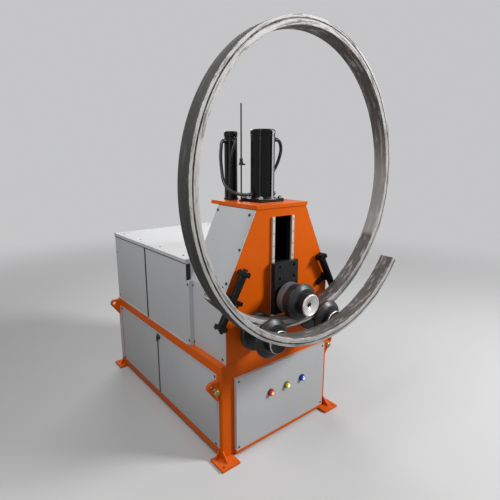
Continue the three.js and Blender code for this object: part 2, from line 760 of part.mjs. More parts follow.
const latchY = DOOR_SPLIT - DOOR_GAP / 2 - LATCH_INSET;
const latchZ = doorTop - LATCH_DROP;
add('door_front', cut(
  doorLeaf(doorFront, DOOR_SPLIT - DOOR_GAP / 2, doorPins[0]),
  barX(
    LATCH_SPINDLE_RADIUS + RUNNING, latchY, latchZ,
    -frameHalf - WELD, -frameHalf + DOOR_THICKNESS + WELD, 16,
  ),
), greyPaint());
add('door_rear', doorLeaf(DOOR_SPLIT + DOOR_GAP / 2, doorRear, doorPins[1]), greyPaint());

function doorLatch() {
  const face = -frameHalf - SEAT;
  const knob = barX(LATCH_RADIUS, latchY, latchZ, face - LATCH_RADIUS, face, 20);
  const bar = block(
    face - LATCH_RADIUS - LATCH_BAR, face - LATCH_RADIUS + WELD,
    latchY - LATCH_BAR, latchY + LATCH_BAR, latchZ - LATCH_STEM, latchZ + LATCH_RADIUS,
  );
  const spindle = barX(LATCH_SPINDLE_RADIUS, latchY, latchZ, face - WELD, -frameHalf + DOOR_THICKNESS, 16);
  const cam = block(
    -frameHalf + SHEET + SEAT, -frameHalf + SHEET + SEAT + LATCH_CAM,
    latchY - LATCH_INSET / 2, latchY + LATCH_INSET / 2, latchZ - LATCH_BAR, latchZ + LATCH_BAR,
  );
  return join(knob, bar, spindle, cam);
}
add('door_latch', doorLatch(), blackPaint());

add(
  'side_panel_right',
  sidePan(
    1, frameHalf, DOOR_THICKNESS, doorFront, doorRear, baseRailTop + SEAT, MID_RAIL_BOTTOM - SEAT,
  ),
  greyPaint(),
);
const rearPanelHalf = frameHalf - REAR_POST_SIZE - SEAT;
add('rear_panel_lower', block(
  -rearPanelHalf, rearPanelHalf, FRAME_DEPTH - SHEET * 4, FRAME_DEPTH - SHEET * 3,
  baseRailTop, MID_RAIL_BOTTOM - SEAT,
), greyPaint());

// Control panel: a shallow sheet box with three pilot lamps
const panelLeft = PANEL_LEFT_INSET - frameHalf;
const panelRight = frameHalf - PANEL_RIGHT_INSET;
const panelBottom = BASE_RAIL_BOTTOM + PANEL_LIFT;
const panelTop = MID_RAIL_BOTTOM - PANEL_DROP;
const lampHeight = panelTop - LAMP_DROP;
const lampMiddle = (panelLeft + panelRight) / 2 + LAMP_SHIFT;
const lampXs = [-1, 0, 1].map((step) => lampMiddle + step * LAMP_SPACING);
add('control_panel', cut(
  toSolid(block(panelLeft, panelRight, -PANEL_DEPTH, -SEAT, panelBottom, panelTop)),
  block(
    panelLeft + SHEET, panelRight - SHEET, SHEET - PANEL_DEPTH, WELD,
    panelBottom + SHEET, panelTop - SHEET,
  ),
  ...lampXs.map((x) => barY(LAMP_BARREL_RADIUS + SEAT, x, lampHeight, -PANEL_DEPTH - WELD, WELD, 24)),
), greyPaint());

const lampColours = { red: 0xd83015, yellow: 0xe8d820, blue: 0x1c45d8 };
Object.entries(lampColours).forEach(([colour, value], i) => {
  const face = PANEL_DEPTH + SEAT;
  const bezel = face + LAMP_BEZEL_HEIGHT;
  const lens = bezel + LAMP_LENS_HEIGHT;
  const profile = [
    [0, SEAT * 4], [LAMP_BARREL_RADIUS, SEAT * 4], [LAMP_BARREL_RADIUS, face], [LAMP_BEZEL_RADIUS, face],
    [LAMP_BEZEL_RADIUS, bezel - LAMP_BEZEL_EDGE], [LAMP_BEZEL_RADIUS - LAMP_BEZEL_EDGE, bezel],
    [LAMP_LENS_RADIUS, bezel], [LAMP_LENS_RADIUS, lens - LAMP_LENS_CROWN],
    [LAMP_LENS_RADIUS * 0.92, lens - LAMP_LENS_CROWN / 2], [LAMP_LENS_RADIUS * 0.6, lens - SEAT * 4],
    [0, lens],
  ];
  add(`lamp_${colour}`, turnedY(profile, lampXs[i], lampHeight, 20), finish(value, 0.2, 0.0));
});

// Bent section: a true arc through the rollers that then springs open a little and drifts forwards
function driftAt(angle) {
  return loopShift * THREE.MathUtils.smoothstep(angle, DRIFT_START, DRIFT_END);
}

function growthAt(angle) {
  return RING_GROWTH * THREE.MathUtils.smoothstep(angle, GROWTH_START, GROWTH_END);
}

function sectionProfile() {
  const [inner, outer] = [ringInnerRadius, RING_OUTER_RADIUS];
  const c = SECTION_CHAMFER;
  const groove = outer - SECTION_GROOVE_INSET;
  const low = groove - SECTION_GROOVE_WIDTH;
  const front = SECTION_WIDTH;
  return [
    [inner + c, 0], [low, 0], [low, SECTION_GROOVE_DEPTH], [groove, SECTION_GROOVE_DEPTH], [groove, 0],
    [outer - c, 0], [outer, c], [outer, front - c], [outer - c, front],
    [groove, front], [groove, front - SECTION_GROOVE_DEPTH],
    [low, front - SECTION_GROOVE_DEPTH], [low, front],
    [inner + c, front], [inner, front - c], [inner, c],
  ];
}

function sectionHollow() {
  const [inner, outer] = [ringInnerRadius + SECTION_WALL, RING_OUTER_RADIUS - SECTION_WALL];
  const front = SECTION_WIDTH - SECTION_WALL;
  return [[inner, SECTION_WALL], [inner, front], [outer, front], [outer, SECTION_WALL]];
}

function bentRing() {
  const [outline, hollow] = [sectionProfile(), sectionHollow()];
  const profile = [...outline, ...hollow];
  const count = profile.length;
  const steps = Math.round((END_ANGLE - START_ANGLE) / STEP_ANGLE);
  const points = [];
  const faces = [];
  for (let i = 0; i <= steps; i += 1) {
    const angle = START_ANGLE + ((END_ANGLE - START_ANGLE) * i) / steps;
    const turn = THREE.MathUtils.degToRad(angle - 90);
    const reach = SECTION_REAR_REACH + driftAt(angle);
    for (const [bent, across] of profile) {
      const radius = bent + growthAt(angle);
      points.push(
        radius * Math.cos(turn), -(reach + across), ringCentre + radius * Math.sin(turn),
      );
    }
  }
  const loops = [[0, outline.length], [outline.length, hollow.length]];
  for (let i = 0; i < steps; i += 1) {
    for (const [first, size] of loops) {
      for (let k = 0; k < size; k += 1) {
        const a = i * count + first + k;
        const b = i * count + first + ((k + 1) % size);
        faces.push(a, b + count, b, a, a + count, b + count);
      }
    }
  }
  const flat = THREE.ShapeUtils.triangulateShape(
    outline.map(([r, w]) => new THREE.Vector2(r, w)),
    [hollow.map(([r, w]) => new THREE.Vector2(r, w))],
  );
  const last = steps * count;
  for (const [a, b, c] of flat) {
    faces.push(a, b, c, last + a, last + c, last + b);
  }
  const geometry = new THREE.BufferGeometry();
  geometry.setAttribute('position', new THREE.Float32BufferAttribute(points, 3));
  geometry.setIndex(faces);
  return geometry;
}
add('bent_section', bentRing(), rolledSteel());

// Lower rollers on through shafts, with bearing housings in the front plate and drives behind
function lowerRollerProfile() {
  const bore = SHAFT_RADIUS + SEAT;
  const rear = rearFlangeFace - FLANGE_THICKNESS;
  const edge = LOWER_FLANGE_RADIUS - FLANGE_EDGE;
  return [
    [bore, rear], [edge, rear], [LOWER_FLANGE_RADIUS, rear + FLANGE_EDGE],
    [LOWER_FLANGE_RADIUS, rearFlangeFace - FLANGE_THROAT],
    [edge, rearFlangeFace], [LOWER_GROOVE_RADIUS, rearFlangeFace],
    [LOWER_GROOVE_RADIUS, frontFlangeFace], [edge, frontFlangeFace],
    [LOWER_FLANGE_RADIUS, frontFlangeFace + FLANGE_THROAT],
    [LOWER_FLANGE_RADIUS, rollerFrontReach - FRONT_EDGE],
    [LOWER_FLANGE_RADIUS - FRONT_EDGE, rollerFrontReach], [bore, rollerFrontReach],
  ];
}

function shaftProfile(rearDepth) {
  const face = rollerFrontReach + SEAT;
  return [
    [0, -rearDepth], [SHAFT_RADIUS, -rearDepth], [SHAFT_RADIUS, face], [HUB_RADIUS, face],
    [HUB_RADIUS, face + HUB_RIM], [HUB_NOSE_RADIUS, face + HUB_LENGTH], [HUB_DISH_RADIUS, face + HUB_LENGTH],
    [HUB_BORE_RADIUS, face + HUB_LENGTH - HUB_DISH_DEPTH],
    [HUB_BORE_RADIUS, face + HUB_LENGTH - HUB_BORE_DEPTH], [0, face + HUB_LENGTH - HUB_BORE_DEPTH],
  ];
}

function bearingProfile() {
  const bore = SHAFT_RADIUS + RUNNING;
  const tail = -PLATE_THICKNESS - BEARING_TAIL;
  return [
    [bore, tail], [BEARING_SPIGOT_RADIUS, tail], [BEARING_SPIGOT_RADIUS, SEAT],
    [BEARING_FLANGE_RADIUS, SEAT], [BEARING_FLANGE_RADIUS, BEARING_RIM],
    [BEARING_FLANGE_RADIUS - BEARING_SLOPE, BEARING_FLANGE_THICKNESS], [bore, BEARING_FLANGE_THICKNESS],
  ];
}

function driveProfile() {
  const start = -HEAD_DEPTH - SEAT;
  const end = start - DRIVE_LENGTH;
  const bore = SHAFT_RADIUS + RUNNING;
  return [
    [bore, start], [bore, start - DRIVE_SOCKET], [0, start - DRIVE_SOCKET],
    [0, end - MOTOR_LENGTH], [MOTOR_RADIUS - MOTOR_EDGE, end - MOTOR_LENGTH],
    [MOTOR_RADIUS, end - MOTOR_LENGTH + MOTOR_EDGE], [MOTOR_RADIUS, end],
    [DRIVE_RADIUS - DRIVE_STEP, end], [DRIVE_RADIUS - DRIVE_STEP, start - DRIVE_FLANGE],
    [DRIVE_RADIUS, start - DRIVE_FLANGE], [DRIVE_RADIUS, start],
  ];
}

const lowerShaftEnd = HEAD_DEPTH + DRIVE_SOCKET - WELD;
for (const side of [-1, 1]) {
  const hand = side < 0 ? 'left' : 'right';
  const x = side * LOWER_SPACING;
  add(`lower_roller_${hand}`, turnedY(lowerRollerProfile(), x, lowerRollHeight), darkSteel());
  add(`lower_shaft_${hand}`, turnedY(shaftProfile(lowerShaftEnd), x, lowerRollHeight, 32), brightSteel());
  add(`bearing_${hand}`, turnedY(bearingProfile(), x, lowerRollHeight, 32), blackPaint());
  add(`drive_${hand}`, turnedY(driveProfile(), x, lowerRollHeight, 24), darkSteel());
}

// Top roller, its shaft, the slide and the ram
function topRollerProfile() {
  const bore = SHAFT_RADIUS + SEAT;
  const stepRadius = TOP_ROLL_RADIUS - TOP_UNDERCUT;
  const rear = rearFlangeFace - SIDE_CLEARANCE;
  const disc = frontFlangeFace + TOP_UNDERCUT_WIDTH;
  return [
    [bore, slideFrontReach + RUNNING], [TOP_COLLAR_RADIUS, slideFrontReach + RUNNING],
    [TOP_COLLAR_RADIUS, rear], [TOP_ROLL_RADIUS - FLANGE_EDGE, rear], [TOP_ROLL_RADIUS, rear + FLANGE_EDGE],
    [TOP_ROLL_RADIUS, frontFlangeFace], [stepRadius, frontFlangeFace], [stepRadius, disc],
    [TOP_FLANGE_RADIUS - FLANGE_EDGE, disc], [TOP_FLANGE_RADIUS, disc + FLANGE_EDGE],
    [TOP_FLANGE_RADIUS, rollerFrontReach - FRONT_EDGE],
    [TOP_FLANGE_RADIUS - FRONT_EDGE, rollerFrontReach], [bore, rollerFrontReach],
  ];
}
add('top_roller', turnedY(topRollerProfile(), 0, topRollHeight), darkSteel());
add('top_shaft', turnedY(shaftProfile(CARRIAGE_BORE - WELD), 0, topRollHeight, 32), brightSteel());

function slidePlate() {
  const half = SLOT_WIDTH / 2 + SLIDE_PLATE_SIDE;
  const holes = [SLIDE_BOLT_UPPER, SLIDE_BOLT_LOWER].flatMap((drop) => [-1, 1].map((side) => barY(
    SLIDE_BOLT_RADIUS, side * SLIDE_BOLT_HALF, slideTop - drop,
    -slideFrontReach - WELD, -slideFrontReach + SLIDE_BOLT_DEPTH, 20,
  )));
  return cut(
    toSolid(block(-half, half, -slideFrontReach, -slideRearReach, slideBottom, slideTop)),
    barY(SHAFT_RADIUS + RUNNING, 0, topRollHeight, -slideFrontReach - WELD, WELD),
    ...holes,
  );
}
add('slide_plate', slidePlate(), darkSteel());

function carriage() {
  const web = SLOT_WIDTH / 2 - RUNNING;
  const front = PLATE_THICKNESS + RUNNING;
  const rear = HEAD_DEPTH - PLATE_THICKNESS - CARRIAGE_REAR_GAP;
  return cut(
    join(
      block(-web, web, -GIB_THICKNESS, front + WELD, slideBottom, carriageTop),
      block(-CARRIAGE_HALF, CARRIAGE_HALF, front, rear, slideBottom, carriageTop),
    ),
    barY(SHAFT_RADIUS + RUNNING, 0, topRollHeight, -GIB_THICKNESS - WELD, CARRIAGE_BORE),
  );
}
add('slide_carriage', carriage(), darkSteel());

function ramRod() {
  const piston = BARREL_BORE_RADIUS - RUNNING;
  const start = flangeTop + PISTON_HEIGHT / 4;
  return join(
    barZ(RAM_RADIUS, 0, cylinderY, carriageTop + SEAT, start + WELD),
    barZ(piston, 0, cylinderY, start, start + PISTON_HEIGHT),
  );
}
add('ram_rod', ramRod(), brightSteel());

function strokeRod() {
  const [x, y] = [-STROKE_ROD_SIDE, strokeRodY];
  const foot = headTop + STROKE_COLLAR_RISE;
  const collar = new THREE.CylinderGeometry(
    STROKE_ROD_RADIUS * 2, STROKE_COLLAR_RADIUS, STROKE_COLLAR_HEIGHT, 12,
  );
  collar.rotateX(Math.PI / 2);
  collar.translate(x, y, foot + STROKE_COLLAR_HEIGHT / 2);
  const half = STROKE_ROD_RADIUS * 0.75;
  const pointer = block(x, x + STROKE_POINTER, y - half, y + half, foot, foot + half * 3);
  return join(
    barZ(STROKE_ROD_RADIUS, x, y, carriageTop + SEAT, headTop + STROKE_ROD_RISE, 12), collar, pointer,
  );
}
add('stroke_rod', strokeRod(), blackPaint());

// Main cylinder: flange, barrel, cap, hard pipe and hose
const portHeight = barrelTop - PORT_DROP;
const lowPortHeight = flangeTop + PORT_LIFT;
function cylinderBarrel() {
  const half = CYLINDER_FLANGE / 2;
  const nutSpan = half - CYLINDER_NUT_INSET;
  const root = BARREL_RADIUS - PORT_DROP / 2;
  const nuts = [-1, 1].flatMap((sx) => [-1, 1].map((sy) => barZ(
    CYLINDER_NUT_RADIUS, sx * nutSpan, cylinderY + sy * nutSpan,
    flangeTop - WELD, flangeTop + CYLINDER_NUT_HEIGHT, 6,
  )));
  return cut(
    join(
      block(-half, half, cylinderY - half, cylinderY + half, headTop, flangeTop), ...nuts,
      barZ(BARREL_RADIUS, 0, cylinderY, flangeTop - WELD, barrelTop, 48),
      barX(PORT_RADIUS, cylinderY, portHeight, root, BARREL_RADIUS + PORT_REACH, 12),
      barX(PORT_RADIUS, cylinderY, lowPortHeight, root, BARREL_RADIUS + PORT_LOW_REACH, 12),
      barX(PORT_RADIUS, cylinderY, lowPortHeight, -BARREL_RADIUS - PORT_SIDE_REACH, -root, 12),
    ),
    barZ(BARREL_BORE_RADIUS, 0, cylinderY, flangeTop, barrelTop + WELD, 48),
    barZ(RAM_RADIUS + RUNNING, 0, cylinderY, headTop - WELD, flangeTop + WELD),
  );
}
add('cylinder_barrel', cylinderBarrel(), blackPaint());
const capTop = barrelTop + CYLINDER_CAP_HEIGHT;
add('cylinder_cap', join(
  barZ(CYLINDER_CAP_RADIUS, 0, cylinderY, barrelTop, capTop - CYLINDER_CAP_STEP, 48),
  barZ(CYLINDER_CAP_RADIUS - CYLINDER_CAP_STEP, 0, cylinderY, barrelTop + CYLINDER_CAP_STEP, capTop, 48),
), blackPaint());

// The hard pipe stands beside the barrel, a quarter turn towards the front right
const pipeTurn = THREE.MathUtils.degToRad(-PIPE_ANGLE);
const pipeOffset = CYLINDER_CAP_RADIUS + PIPE_RADIUS + SEAT;
const pipeX = pipeOffset * Math.cos(pipeTurn);
const pipeY = cylinderY + pipeOffset * Math.sin(pipeTurn);
add('cylinder_pipe', barZ(
  PIPE_RADIUS, pipeX, pipeY, flangeTop, capTop - CYLINDER_CAP_STEP, 12,
), brightSteel());

const hoseStart = BARREL_RADIUS + PORT_REACH + SEAT;
add('hose_upper', hose([
  [hoseStart, cylinderY, portHeight], [hoseStart + 14, cylinderY, portHeight],
  [hoseStart + 42, cylinderY + 4, portHeight - 30],
  [hoseStart + 42, cylinderY + 12, portHeight - 90],
  [hoseStart + 10, cylinderY + 40, portHeight - 180],
  [58, cylinderY + 84, portHeight - 240], [42, cylinderY + 120, headTop + 34],
  [42, cylinderY + 120, headTop + SEAT],
], HOSE_RADIUS, 28), rubber());

// Slim return cylinder on the rear of the head with its two hoses
const returnTop = headTop + RETURN_LENGTH;
const returnPort = returnTop - RETURN_PORT_DROP;
const portReach = RETURN_RADIUS + RETURN_PORT_REACH;
const sidePortY = returnY - RETURN_PORT_BACK;
const frontPortX = returnX - RETURN_PORT_SIDE;
function returnCylinder() {
  return join(
    barZ(RETURN_RADIUS, returnX, returnY, headTop, returnTop + WELD),
    barZ(RETURN_RADIUS + RETURN_FOOT_LIP, returnX, returnY, headTop, headTop + RETURN_FOOT_HEIGHT),
    barZ(RETURN_RADIUS + RETURN_CAP_LIP, returnX, returnY, returnTop, returnTop + RETURN_CAP_HEIGHT),
    barX(RETURN_PORT_RADIUS, sidePortY, returnPort, returnX - portReach, returnX, 12),
    barY(RETURN_PORT_RADIUS, frontPortX, returnPort, returnY - portReach, returnY, 12),
  );
}
add('return_cylinder', returnCylinder(), blackPaint());
const returnSide = returnX - portReach - SEAT;
add('hose_return', hose([
  [returnSide, sidePortY, returnPort], [returnSide - 10, sidePortY, returnPort],
  [returnSide - 24, returnY - 12, returnPort - 34], [returnSide - 24, returnY - 16, returnPort - 160],
  [returnSide - 26, returnY - 40, returnPort - 220], [returnSide - 26, returnY - 96, flangeTop + 40],
  [returnSide - 10, cylinderY + 8, lowPortHeight + 2],
  [-BARREL_RADIUS - PORT_SIDE_REACH - 20, cylinderY, lowPortHeight],
  [-BARREL_RADIUS - PORT_SIDE_REACH - SEAT, cylinderY, lowPortHeight],
], HOSE_RADIUS, 28), rubber());
const returnFront = returnY - portReach - SEAT;
add('hose_drain', hose([
  [frontPortX, returnFront, returnPort], [frontPortX, returnFront - 9, returnPort],
  [returnX - 30, returnFront - 14, returnPort - 36], [returnX - 40, returnFront - 2, returnPort - 110],
  [returnX - 40, returnFront + 4, returnPort - 200], [returnX - 40, returnFront + 4, headTop + 30],
  [returnX - 40, returnFront + 4, headTop + SEAT],
], HOSE_RADIUS - 2, 20), rubber());

// Side support cylinders: each lies along a slanted edge in a group of its own
function supportBody(side) {
  const half = SUPPORT_LENGTH / 2;
  const cap = SUPPORT_CAP / 2;
  const caps = [-1, 1].map((end) => block(
    -cap, cap, -cap, cap,
    end > 0 ? half - SUPPORT_CAP_LENGTH : -half, end > 0 ? half : SUPPORT_CAP_LENGTH - half,
  ));
  const port = barZ(
    SUPPORT_PORT_RADIUS, cap - SUPPORT_PORT_INSET, 0, -half - SUPPORT_PORT_LENGTH, WELD - half, 12,
  );
  const width = SUPPORT_BARREL_RADIUS + SUPPORT_WALL;
  const backY = SUPPORT_REACH - SEAT;
  const saddle = block(-width, width, 0, backY, -SUPPORT_SADDLE_HALF, SUPPORT_SADDLE_HALF);
  const arm = block(
    Math.min(0, -side * SUPPORT_ARM), Math.max(0, -side * SUPPORT_ARM),
    backY - SUPPORT_ARM_THICKNESS, backY, -SUPPORT_ARM_HALF, SUPPORT_ARM_HALF,
  );
  const bore = SUPPORT_BARREL_RADIUS - SUPPORT_WALL;
  return cut(
    join(barZ(SUPPORT_BARREL_RADIUS, 0, 0, 1 - half, half - 1, 24), ...caps, port, saddle, arm),
    barZ(bore, 0, 0, SUPPORT_CAP_LENGTH - half, half - SUPPORT_CAP_LENGTH, 24),
    barZ(SUPPORT_ROD_RADIUS + RUNNING, 0, 0, 0, half + WELD, 16),
  );
}

function supportRod() {
  const half = SUPPORT_LENGTH / 2;
  const piston = SUPPORT_BARREL_RADIUS - SUPPORT_WALL - RUNNING;
  const pistonTop = half - SUPPORT_CAP_LENGTH - SUPPORT_STROKE - SUPPORT_NUT_LIFT;
  const nut = half + SUPPORT_NUT_LIFT;
  return join(
    barZ(SUPPORT_ROD_RADIUS, 0, 0, pistonTop - WELD, nut + SUPPORT_NUT_HEIGHT, 16),
    barZ(piston, 0, 0, pistonTop - SUPPORT_PISTON_HEIGHT, pistonTop, 24),
    barZ(SUPPORT_NUT_RADIUS, 0, 0, nut, nut + SUPPORT_NUT_HEIGHT, 6),
  );
}

for (const side of [-1, 1]) {
  const hand = side < 0 ? 'left' : 'right';
  const leaning = new THREE.Group();
  leaning.position.set(side * (shoulderHalf - SUPPORT_INSET), -SUPPORT_REACH, shoulderHeight - SUPPORT_DROP);
  leaning.rotation.y = THREE.MathUtils.degToRad(-side * SUPPORT_ANGLE);
  add(`support_body_${hand}`, supportBody(side), blackPaint(), leaning);
  add(`support_rod_${hand}`, supportRod(), brightSteel(), leaning);
  machine.add(leaning);
}

// Power pack in the lower bay: oil tank with the pump set on its lid
const tankX = TANK_INSET;
const tankY = FRAME_DEPTH - REAR_POST_SIZE - TANK_DEPTH - TANK_REAR_GAP;
const tankBottom = baseRailTop + SHEET;
const pumpZ = tankBottom + TANK_HEIGHT + TANK_LID;
const pumpX = tankX + TANK_WIDTH / 2;
const pumpY = tankY + TANK_DEPTH / 2;
add('oil_tank', join(
  block(tankX, tankX + TANK_WIDTH, tankY, tankY + TANK_DEPTH, tankBottom, tankBottom + TANK_HEIGHT),
  block(
    tankX - TANK_LIP, tankX + TANK_WIDTH + TANK_LIP, tankY - TANK_LIP, tankY + TANK_DEPTH + TANK_LIP,
    tankBottom + TANK_HEIGHT - WELD, pumpZ,
  ),
), blackPaint());
add('pump_motor', join(
  barZ(PUMP_RADIUS, pumpX, pumpY, pumpZ, pumpZ + PUMP_FLANGE),
  barZ(PUMP_RADIUS - PUMP_STEP, pumpX, pumpY, pumpZ + PUMP_FLANGE - WELD, pumpZ + PUMP_HEIGHT),
), darkSteel());

// Put the origin under the middle of the overall box
const frontmost = SECTION_REAR_REACH + driftAt(END_ANGLE) + SECTION_WIDTH;
const rearmost = FRAME_DEPTH + FOOT_OVERHANG;
machine.position.y = (frontmost - rearmost) / 2;

export default machine;
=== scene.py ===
import sys
import logging
import math
from collections.abc import Callable, Sequence
from dataclasses import dataclass, field, replace
from enum import Enum

import bmesh
import bpy
from mathutils import Matrix, Vector


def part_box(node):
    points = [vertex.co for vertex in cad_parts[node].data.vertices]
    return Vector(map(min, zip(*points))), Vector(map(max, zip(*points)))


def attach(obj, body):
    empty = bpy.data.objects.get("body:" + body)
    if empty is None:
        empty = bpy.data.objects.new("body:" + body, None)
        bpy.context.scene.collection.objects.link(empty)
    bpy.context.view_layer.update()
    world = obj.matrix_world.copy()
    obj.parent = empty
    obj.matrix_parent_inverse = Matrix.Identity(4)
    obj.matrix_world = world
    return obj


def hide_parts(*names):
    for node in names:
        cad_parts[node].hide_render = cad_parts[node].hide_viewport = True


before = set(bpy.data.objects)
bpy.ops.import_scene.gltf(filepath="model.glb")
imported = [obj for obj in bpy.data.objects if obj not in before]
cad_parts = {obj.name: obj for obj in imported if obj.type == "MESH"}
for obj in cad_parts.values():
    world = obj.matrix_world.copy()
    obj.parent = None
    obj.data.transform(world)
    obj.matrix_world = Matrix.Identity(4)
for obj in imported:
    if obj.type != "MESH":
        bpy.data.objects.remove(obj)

LOG = logging.getLogger("pipe_rolling_machine")
MM = 0.001
FRONT_PLATE_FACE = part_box("front_plate")[0].y
EDGE_LAYER = "edge"
SWEEP_LAYER = "sweep"
ACROSS_LAYER = "across"
SHARP_ANGLE = math.radians(20)
CORNER_ANGLE = math.radians(35)
FLAT_ANGLE = math.radians(0.4)
WELD_DISTANCE = 2e-5
SEAM_DISTANCE = 1e-6
UP = Vector((0, 0, 1))
FRONT = Vector((0, -1, 0))
BACK = Vector((0, 1, 0))
LEFT = Vector((-1, 0, 0))
RIGHT = Vector((1, 0, 0))
Colour = tuple[float, float, float]
Pair = tuple[float, float]
Point = tuple[float, float, float]
Socket = bpy.types.NodeSocket


class Slot(Enum):
    """The record's material slots."""

    ORANGE = "orange_paint"
    GREY = "grey_paint"
    BLACK = "black_paint"
    DARK = "dark_steel"
    BRIGHT = "bright_steel"
    CHROME = "chrome"
    ROLLED = "rolled_steel"
    HOSE = "hose_rubber"
    RED = "lens_red"
    YELLOW = "lens_yellow"
    BLUE = "lens_blue"


class Body(Enum):
    """The moving bodies that pieces ride on."""

    MACHINE = "machine"
    RAM = "ram"
    TOP_ROLLER = "top_roller_set"
    LOWER_LEFT = "lower_roller_set_left"
    LOWER_RIGHT = "lower_roller_set_right"
    SECTION = "section"
    SUPPORT_LEFT = "support_rod_l"
    SUPPORT_RIGHT = "support_rod_r"
    FRONT_DOOR = "front_door"
    REAR_DOOR = "rear_door"
    LATCH = "latch"


class Side(Enum):
    """Which side of the machine a piece is on, seen from the front."""

    LEFT = -1
    RIGHT = 1

    @property
    def word(self) -> str:
        """Returns the side's name as it stands in node names."""
        return self.name.lower()


def spot(x: float, y: float, z: float) -> Vector:
    """Turns millimetres right of the middle, behind the front plate and above the floor into metres."""
    return Vector((x * MM, y * MM + FRONT_PLATE_FACE, z * MM))


def aim(origin: Vector, direction: Vector) -> Matrix:
    """Gives the placing that turns +Z to a direction and moves it to an origin."""
    return Matrix.Translation(origin) @ direction.to_track_quat("Z", "X").to_matrix().to_4x4()


def at(x: float, y: float, z: float, direction: Vector = UP) -> Matrix:
    """Gives the placing at a point in drawing millimetres whose Z axis looks in a direction."""
    return aim(spot(x, y, z), direction)


def moved(place: Matrix, x: float, y: float, z: float) -> Matrix:
    """Moves a placing by millimetres along its own axes."""
    return place @ Matrix.Translation((x * MM, y * MM, z * MM))


def disc(radius: float, low: float, high: float) -> list[Pair]:
    """Gives the outline of a plain round disc or bar."""
    return [(0, low), (radius, low), (radius, high), (0, high)]


def sleeve(radius: float, length: float) -> list[Pair]:
    """Gives the outline of a hose sleeve with a small chamfer at its far end."""
    return [(0, 0), (radius, 0), (radius, length - 1), (radius - 0.8, length), (0, length)]


def dim(colour: Colour, share: float) -> Colour:
    """Gives a darker shade of a colour."""
    return tuple(part * share for part in colour)


